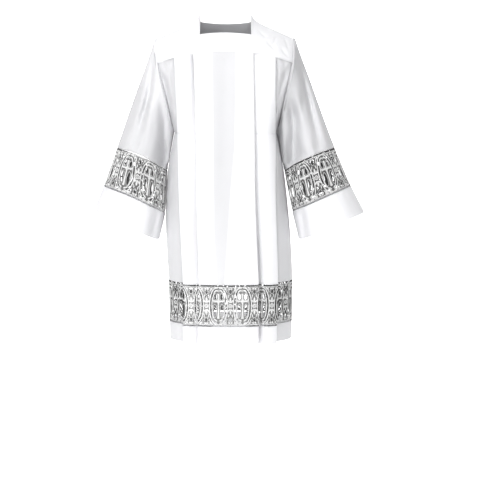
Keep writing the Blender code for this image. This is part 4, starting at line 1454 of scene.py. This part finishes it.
def lace_relief(name, strip, repeats, finish, outward, over_ends, face=None):
    """The raised work of a lace strip: one repeat copied along it, and its edging, laid on the cloth."""
    width = strip.length / repeats
    scale = (width / REPEAT_WIDTH * MM, strip.height / REPEAT_HEIGHT * MM, 1)
    points, faces, places = domes(raised_work())
    points = points * scale
    shifts = (np.arange(repeats) + 0.5) * width
    flat = (points[None] + np.stack([shifts, 0 * shifts, 0 * shifts], axis=1)[:, None]).reshape(-1, 3)
    every = (faces[None] + (np.arange(repeats) * len(points))[:, None, None]).reshape(-1, 4)
    edge_points, edge_faces, edge_places = domes(edging(REPEAT_WIDTH * repeats + EDGING_PAST))
    every = np.concatenate([every, edge_faces + len(flat)])
    flat = np.concatenate([flat, edge_points * scale])
    if not over_ends:
        beyond = (flat[:, 0] < -RELIEF_END) | (flat[:, 0] > strip.length + RELIEF_END)
        every = every[~beyond[every].any(axis=1)]
    used, every = np.unique(every, return_inverse=True)
    uv = np.concatenate([np.tile(places, (repeats, 1)), edge_places])[used]
    placed = strip.place(flat[used])
    piece = mesh_object(name, placed, every.reshape(-1, 4)[:, ::outward], uv, finish)
    # Painted shade across the raised work
    set_thin_and_shade(piece, lace_shade_share(placed, face))
    return piece


def inset(grid, edge, distance, outward, thickness):
    """Points and normals of a line that runs at a distance from one edge of a grid, on its outer side."""
    rows = grid if edge == "top" else grid[::-1]
    facing = normals(grid, outward)
    facing = facing if edge == "top" else facing[::-1]
    steps = np.linalg.norm(np.diff(rows, axis=0), axis=2)
    down = np.concatenate([np.zeros((1, rows.shape[1])), np.cumsum(steps, axis=0)])
    row = np.clip((down < distance).sum(axis=0) - 1, 0, len(rows) - 2)
    column = np.arange(rows.shape[1])
    share = (distance - down[row, column]) / (down[row + 1, column] - down[row, column])
    points = mix(rows[row, column], rows[row + 1, column], share[:, None])
    normal = facing[row, column]
    return points + normal * thickness / 2, normal


def stitches(name, lines, finish):
    """Running stitches: a short faceted bead for each, with pointed ends, along every line of points."""
    found = []
    for points, facing in lines:
        at = along_line(points)
        where = np.arange(STITCH_PITCH / 2, at[-1], STITCH_PITCH)

        def along(field, places):
            return np.stack([np.interp(places, at, field[:, k]) for k in range(3)], axis=1)

        centre = along(points, where)
        found.append((centre, along(points, where + STITCH_AHEAD) - centre, along(facing, where)))
    centre, way, up = (np.concatenate(part) for part in zip(*found))
    way /= np.maximum(np.linalg.norm(way, axis=1, keepdims=True), 1e-9)
    aside = np.cross(up, way)
    aside /= np.linalg.norm(aside, axis=1, keepdims=True)
    half = STITCH / 2
    ends = [(-half, 0, 0), (half, 0, 0)]
    round_it = ((THREAD, 0), (0, THREAD), (-THREAD, 0), (0, -THREAD))
    lengthwise = (-STITCH_FULL * half, STITCH_FULL * half)
    full = [(at, a, b + STITCH_RISE * THREAD) for at in lengthwise for a, b in round_it]
    bead = np.array(ends + full)
    basis = np.stack([way, aside, up], axis=1)
    points = centre[:, None] + np.einsum("kj,njx->nkx", bead, basis)
    around = np.arange(4)
    low, low_after = 2 + around, 2 + (around + 1) % 4
    high, high_after = low + 4, low_after + 4
    first, last = 0 * around, 0 * around + 1
    tips = (first, low_after, low), (high, high_after, last)
    sides = (low, low_after, high_after), (low, high_after, high)
    faces = np.concatenate([np.stack(corners, axis=1) for corners in tips + sides])
    faces = faces[None] + (np.arange(len(centre)) * len(bead))[:, None, None]
    uv = np.zeros((points.shape[0] * points.shape[1], 2))
    return mesh_object(name, points.reshape(-1, 3), faces.reshape(-1, 3), uv, finish)


class Shade:
    """A socket in a material. Sums on it add Math nodes, colours() a Mix node, and node() any other one."""

    def __init__(self, tree, socket=None):
        self.tree, self.socket = tree, socket

    def node(self, kind, sockets=(), output=0, stops=(), **settings):
        """Adds a node: its settings, a ramp's stops, then a value or a link for each socket."""
        made = self.tree.nodes.new("ShaderNode" + kind)
        for name, value in settings.items():
            setattr(made, name, value)
        for k, (place, colour) in enumerate(stops):
            ramp = made.color_ramp.elements
            stop = ramp[k] if k < len(ramp) else ramp.new(place)
            stop.position, stop.color = place, colour
        for key, value in dict(sockets).items():
            if isinstance(value, Shade):
                self.tree.links.new(value.socket, made.inputs[key])
            else:
                made.inputs[key].default_value = value
        return Shade(self.tree, made.outputs[output])

    def sum(self, operation, *values):
        return self.node("Math", dict(enumerate(values)), operation=operation)

    def colours(self, share, first, second):
        """Mixes two colours by a share, each a socket's or the same all over."""
        pair = {6: first, 7: second}
        sockets = {key: one if isinstance(one, Shade) else (*one, 1) for key, one in pair.items()}
        return self.node("Mix", {0: share, **sockets}, 2, data_type="RGBA")

    def __add__(self, other):
        return self.sum("ADD", self, other)

    __radd__ = __add__

    def __sub__(self, other):
        return self.sum("SUBTRACT", self, other)

    def __rsub__(self, other):
        return self.sum("SUBTRACT", other, self)

    def __mul__(self, other):
        return self.sum("MULTIPLY", self, other)

    __rmul__ = __mul__

    def __abs__(self):
        return self.sum("ABSOLUTE", self)

    def __gt__(self, other):
        return self.sum("GREATER_THAN", self, other)


def new_material(name, colour, roughness, sheen):
    """A white textile's Principled shader with its constants, and a start for its nodes."""
    made = bpy.data.materials.new(name)
    made.use_nodes = True
    shader = made.node_tree.nodes["Principled BSDF"]
    shader.inputs["Base Color"].default_value = (*colour, 1)
    shader.inputs["Roughness"].default_value = roughness
    shader.inputs["Specular IOR Level"].default_value = 0.25
    shader.inputs["Sheen Weight"].default_value = sheen
    shader.inputs["Sheen Roughness"].default_value = 0.45
    return made, shader, Shade(made.node_tree)


def connect(shade, shader, socket):
    shade.tree.links.new(shade.socket, shader.inputs[socket])


def on_cloth(start):
    """The two coordinates of the piece's own map, in millimetres."""
    place = start.node("UVMap", uv_map="cloth")
    across = start.node("SeparateXYZ", {0: place})
    return across * MM, Shade(start.tree, across.socket.node.outputs[1]) * MM


def greyer(start, tone, thin_and_shade_colour):
    """The tone, mixed with another colour by the share that says how thin the cloth is and how much painted
    shade lies on it.
    """
    thin_and_shade = start.node("Attribute", output=2, attribute_name="thin_and_shade")
    return start.colours(thin_and_shade, tone, thin_and_shade_colour)


def plain_cloth(name, colour):
    """Plain weave: two families of threads that pass over each other by turns, with faint slubs."""
    made, shader, start = new_material(name, colour, 0.78, 0.10)
    u, v = on_cloth(start)
    warp = start.sum("SINE", u * (math.pi / WEAVE_PITCH))
    weft = start.sum("SINE", v * (math.pi / WEAVE_PITCH))
    over = warp * weft * 0.5 + 0.5
    threads = abs(warp) * over + abs(weft) * (1 - over)
    stretched = start.node("CombineXYZ", {0: u * 0.05, 1: v * 1.2})
    slub = start.node("TexNoise", {"Vector": stretched, "Scale": 1.0, "Detail": 2.0})
    place = start.node("TexCoord", output=3)
    broad = start.node("TexNoise", {"Vector": place, "Scale": 9.0, "Detail": 3.0})
    tone = start.colours(broad, [c * UNEVEN_TONE for c in colour], colour)
    # Base colour: darker where one layer hangs over the dark garment beneath, which is not built, and where
    # painted shade lies
    connect(greyer(start, tone, [c * THIN_AND_SHADE_TONE for c in colour]), shader, "Base Color")
    connect(0.72 + 0.12 * slub, shader, "Roughness")
    raised = threads * 0.7 + slub * 0.6
    bump = start.node("Bump", {"Height": raised, "Strength": 0.35, "Distance": 0.00012})
    connect(bump, shader, "Normal")
    return made


def hexagon(start, x, y):
    """Distance from the middle of a six-sided mesh cell, 0.5 at its sides."""
    return start.sum("MAXIMUM", abs(x), abs(x) * 0.5 + abs(y) * HEXAGON_RISE)


def net_cloth(name, colour):
    """Six-sided net: threads where a point is near the side of its cell, and deep shade between them."""
    made, shader, start = new_material(name, colour, 0.85, 0.10)
    u, v = on_cloth(start)
    x, y = u * (1 / NET_CELL), v * (1 / NET_CELL)

    def cells(x, y):
        across = start.sum("WRAP", x, -0.5, 0.5)
        return hexagon(start, across, start.sum("WRAP", y, -HEXAGON_RISE, HEXAGON_RISE))

    near = start.sum("MINIMUM", cells(x, y), cells(x + 0.5, y + HEXAGON_RISE))
    thread = near > 0.5 - NET_THREAD
    connect(thread * (1 - NET_SHADE) + NET_SHADE, shader, "Alpha")
    # Threads darker where painted shade lies on the lace
    threads = greyer(start, colour, NET_SHADED_THREAD)
    connect(start.colours(thread, NET_BETWEEN, threads), shader, "Base Color")
    twist = start.sum("SINE", (u + v) * 9.0) * 0.5 + 0.5
    bump = start.node("Bump", {"Height": twist, "Strength": 0.3, "Distance": 0.0001})
    connect(bump, shader, "Normal")
    return made


def satin_stitch(name, colour):
    """Close stitches laid side by side across each raised shape."""
    made, shader, start = new_material(name, colour, 0.70, 0.20)
    u, v = on_cloth(start)
    rows = abs(start.sum("SINE", u * (math.pi / SATIN_PITCH) + v * SATIN_SLANT))
    wear = start.node("TexNoise", {"Scale": 900.0, "Detail": 2.0})
    bump = start.node("Bump", {"Height": rows + wear * 0.5, "Strength": 0.5, "Distance": 0.00015})
    connect(bump, shader, "Normal")
    # Painted shade in the grooves between two stitches
    tone = start.colours(rows, [c * SATIN_GROOVE_SHADE for c in colour], colour)
    # Darker still under the lace's painted shade
    connect(greyer(start, tone, [c * STITCH_SHADE_TONE for c in colour]), shader, "Base Color")
    return made


def single_layer_and_shade(panel, face):
    """How thin a panel is and what painted shade lies on it: one layer with painted shade at its sides, and on
    the front also one layer between the hidden laps.
    """
    x, z = panel[..., 0], panel[..., 2]
    sides = np.zeros(x.shape)
    single = SIDE_COLUMNS - SIDE_THIN_AND_SHADE_IN
    sides[:, :single] = sides[:, -single:] = SIDE_THIN_AND_SHADE
    if face == "back":
        return sides
    low, high = (np.interp(z, SINGLE_Z, edges) for edges in SINGLE_EDGES)
    middle = ease((x - low) / SINGLE_SOFT[0] + 0.5) * ease((high - x) / SINGLE_SOFT[1] + 0.5)
    return sides + THIN_MIDDLE * middle * mix(THIN_MIDDLE_LOW, 1, ease((z - SINGLE_Z[0]) / THIN_MIDDLE_REACH))


def sleeve_thin_and_shade_share(side, places):
    """How thin a sleeve's cloth hangs, with painted shade: from the cap's share, which is painted shade, to
    the lower one, with a bell of painted shade over one fold.
    """
    angle = np.linspace(0, 360, SLEEVE_COLUMNS + 1)
    bell = np.exp(-(((angle - FOLD_PAINTED_SHADE_ANGLE) / FOLD_PAINTED_SHADE_WIDTH) ** 2))
    bell = bell * ease((places - FOLD_PAINTED_SHADE_FROM) / FOLD_PAINTED_SHADE_REACH)
    return mix(*SLEEVE_THIN_AND_SHADE[side], ease(places / SLEEVE_THIN_AND_SHADE_REACH)) + FOLD_PAINTED_SHADE[side] * bell


def net_area(piece, grid):
    """The flat net without its openings: a share of the strip's rectangle, from the areas in space."""
    wide, high = size_of(grid)
    shown = sum(face.area for face in piece.data.polygons) / 2
    return wide * high * min(1, shown / cloth_area(grid))


def dress(piece, slot, *nodes):
    """The piece rides with the garment, and stands for these solids, which are hidden. The slot is not used.
    """
    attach(piece, "root")
    if nodes:
        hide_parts(*nodes)
    return piece


def size_of(grid):
    """Flat size of a strip: the mean length of its rows and of its columns."""
    across, along = lengths(grid)
    return float(across[-1]), float(along[-1])


def cloth_area(grid, cells=None):
    """Area of a grid's cells."""
    a, b = grid[1:, 1:] - grid[:-1, :-1], grid[1:, :-1] - grid[:-1, 1:]
    area = np.linalg.norm(np.cross(a, b), axis=2) / 2
    return float(area.sum() if cells is None else area[cells].sum())


def row_at(rows, place):
    return int(np.abs(rows - place).argmin())


def lines_along(grid, outward, thickness, edge, *distances):
    """Lines at these distances from an edge of a grid."""
    return [inset(grid, edge, distance, outward, thickness) for distance in distances]


def neck_lines(yoke, outward):
    """Two lines of stitches round the neck: down beside it and along below it."""
    middle = yoke.shape[1] // 2
    low, high = middle - YOKE_NECK_COLUMNS // 2, middle + YOKE_NECK_COLUMNS // 2
    rows = YOKE_NECK_ROW + NECK_STITCH_ROWS
    found = []
    for distance in NECK_STITCHES:
        found.append(inset(yoke[YOKE_NECK_ROW:, low : high + 1], "top", distance, outward, DOUBLED))
        for beside, way in ((yoke[:rows, high:], -outward), (yoke[:rows, low::-1], outward)):
            found.append(inset(beside.transpose(1, 0, 2), "top", distance, way, DOUBLED))
    return found


def make_face(face, grid, rows, other, finishes):
    """One face of the body: yoke, pleated panel, lace insertion and hem band, with their stitching."""
    outward = -1 if face == "front" else 1
    lace_top, lace_bottom = row_at(rows, LACE_TOP_Z), row_at(rows, LACE_BOTTOM_Z)
    yoke, cells = yoke_grid(face)
    piece = grid_piece(f"{face}_yoke", yoke, DOUBLED, finishes["cloth"], outward, cells=cells)
    dress(piece, "cloth", f"yoke_{face}")
    cloth_area(yoke, cells)

    panel = grid[: lace_top + 1]
    # Darker where one layer hangs over the dark garment beneath, and under painted shade at the sides
    thin_and_shade = single_layer_and_shade(panel, face)
    piece = grid_piece(f"{face}_panel", panel, CLOTH, finishes["cloth"], outward, thin_and_shade=thin_and_shade)
    dress(piece, "cloth", f"body_{face}")
    wide, long = size_of(panel)
    min(cloth_area(panel), wide * long)

    lace = grid[lace_top : lace_bottom + 1]
    beside = other[lace_top : lace_bottom + 1]
    strip = Strip(lace, outward, beside[:, END_COLUMNS:0:-1], beside[:, -2 : -2 - END_COLUMNS : -1])
    piece = net_ground(f"{face}_hem_net", strip, HEM_REPEATS, finishes["net"], outward, face)
    dress(piece, "lace", f"hem_lace_{face}")
    name = f"{face}_hem_embroidery"
    raised = lace_relief(name, strip, HEM_REPEATS, finishes["embroidery"], outward, face == "front", face)
    dress(raised, "lace")
    area = net_area(piece, lace)

    band = grid[lace_bottom:]
    # Painted shade on the hem band's sides, which are doubled cloth
    thin_and_shade = HEM_SIDE_SHADE * single_layer_and_shade(band, "back")
    piece = grid_piece(f"{face}_hem_band", band, DOUBLED, finishes["cloth"], outward, thin_and_shade=thin_and_shade)
    dress(piece, "cloth", f"hem_band_{face}")

    lines = lines_along(yoke, outward, DOUBLED, "bottom", EDGE_STITCH)
    lines += lines_along(panel, outward, CLOTH, "bottom", *SEAM_STITCHES)
    lines += lines_along(band, outward, DOUBLED, "top", *SEAM_STITCHES) + neck_lines(yoke, outward)
    dress(stitches(f"{face}_stitching", lines, finishes["thread"]), "cloth")


def make_sleeve(side, finishes):
    """One sleeve: its cloth, its lace insertion, and its cuff band."""
    name = "left" if side > 0 else "right"
    whole, rows = sleeve_grid(side)
    lace_top, lace_bottom = row_at(rows, LACE_AT), row_at(rows, CUFF_AT)
    cloth, lace, cuff = whole[: lace_top + 1], whole[lace_top : lace_bottom + 1], whole[lace_bottom:]
    # One layer over the dark sleeve beneath, with painted shade at the cap and in the fold beside the underarm
    thin_and_shade = sleeve_thin_and_shade_share(side, rows[: lace_top + 1, None])
    piece = grid_piece(f"{name}_sleeve", cloth, CLOTH, finishes["cloth"], side, tube=True, thin_and_shade=thin_and_shade)
    dress(piece, "cloth", f"sleeve_{name}")
    cloth_area(cloth)

    before, after = lace[:, -1 - SLEEVE_END_COLUMNS : -1], lace[:, 1 : 1 + SLEEVE_END_COLUMNS]
    strip = Strip(lace, side, before, after)
    piece = net_ground(f"{name}_sleeve_net", strip, SLEEVE_REPEATS, finishes["net"], side)
    dress(piece, "lace", f"sleeve_lace_{name}_front", f"sleeve_lace_{name}_back")
    relief = f"{name}_sleeve_embroidery"
    raised = lace_relief(relief, strip, SLEEVE_REPEATS, finishes["embroidery"], side, over_ends=True)
    dress(raised, "lace")
    area = net_area(piece, lace)

    piece = grid_piece(f"{name}_cuff", cuff, DOUBLED, finishes["cloth"], side, tube=True)
    dress(piece, "cloth", f"cuff_{name}")
    lines = lines_along(cloth, side, CLOTH, "bottom", *SEAM_STITCHES)
    lines += lines_along(cuff, side, DOUBLED, "top", *SEAM_STITCHES)
    dress(stitches(f"{name}_sleeve_stitching", lines, finishes["thread"]), "cloth")


def cove_finish():
    """White that glows from the garment backwards, so that the cove is white behind it."""
    made = bpy.data.materials.new("studio_white")
    made.use_nodes = True
    shader = made.node_tree.nodes["Principled BSDF"]
    shader.inputs["Base Color"].default_value = COVE_COLOUR
    shader.inputs["Roughness"].default_value = 0.9
    shader.inputs["Emission Strength"].default_value = GLOW
    start = Shade(made.node_tree)
    place = start.node("TexCoord", output=3)
    back = start.node("SeparateXYZ", {0: place}, output=1)
    ends = {0: back, 1: GLOW_FROM, 2: GLOW_FULL, 3: 0.0, 4: 1.0}
    share = start.node("MapRange", ends, interpolation_type="SMOOTHSTEP")
    connect(start.colours(share, FAINT_GLOW, (1, 1, 1)), shader, "Emission Color")
    return made


def studio():
    """The cove, three softboxes, which are a key, a front light and a top light, and the room's own light.

    The cove's section is the floor, a quarter circle and the wall.
    """
    angle = np.linspace(0, math.pi / 2, 17)
    y = np.concatenate([COVE_FLOOR_Y, COVE_BACK + COVE_BEND * np.sin(angle), [COVE_BACK + COVE_BEND]])
    bend = FLOOR_Z + COVE_BEND * (1 - np.cos(angle))
    z = np.concatenate([np.full(len(COVE_FLOOR_Y), FLOOR_Z), bend, [COVE_TOP]])
    across = np.array([-COVE_HALF_WIDTH, COVE_HALF_WIDTH])
    grid = np.stack(np.broadcast_arrays(across[None, :], y[:, None], z[:, None]), axis=2)
    uv = np.zeros((grid.shape[0] * 2, 2))
    faces = grid_faces(len(y), 2, 1)
    mesh_object("studio_cove", grid.reshape(-1, 3), faces, uv, cove_finish())

    scene = bpy.context.scene
    for box in SOFTBOXES:
        light = bpy.data.lights.new(box.name, "AREA")
        light.energy, light.size = box.power, box.size
        made = bpy.data.objects.new(box.name, light)
        made.location = box.at
        made.rotation_euler = (Vector(LIT) - made.location).to_track_quat("-Z", "Y").to_euler()
        made.visible_camera = False
        scene.collection.objects.link(made)
    scene.world = bpy.data.worlds.new("studio")
    scene.world.use_nodes = True
    background = scene.world.node_tree.nodes["Background"]
    background.inputs["Color"].default_value = (1, 1, 1, 1)
    background.inputs["Strength"].default_value = ROOM
    scene.view_settings.view_transform = "Standard"
    scene.view_settings.gamma = CONTRAST


def camera():
    """The camera in the photo's place: its angle spans the photo's width at the garment."""
    made = bpy.data.objects.new("camera", bpy.data.cameras.new("camera"))
    aim = Vector(CAMERA_TO) - Vector(CAMERA_AT)
    made.location = CAMERA_AT
    made.rotation_euler = aim.to_track_quat("-Z", "Y").to_euler()
    made.data.angle = 2 * math.atan(VIEW_WIDTH / 2 / aim.length)
    bpy.context.scene.collection.objects.link(made)
    bpy.context.scene.camera = made


camera()
studio()
finishes = {
    "cloth": plain_cloth("white_cloth", (0.86, 0.86, 0.875)),
    "net": net_cloth("white_net", (0.80, 0.80, 0.80)),
    "embroidery": satin_stitch("white_embroidery", (0.88, 0.88, 0.88)),
    "thread": satin_stitch("white_thread", (0.84, 0.84, 0.85)),
}
(front, rows), (back, _) = body_grid("front"), body_grid("back")
make_face("front", front, rows, back, finishes)
make_face("back", back, rows, front, finishes)
for side in (-1, 1):
    make_sleeve(side, finishes)
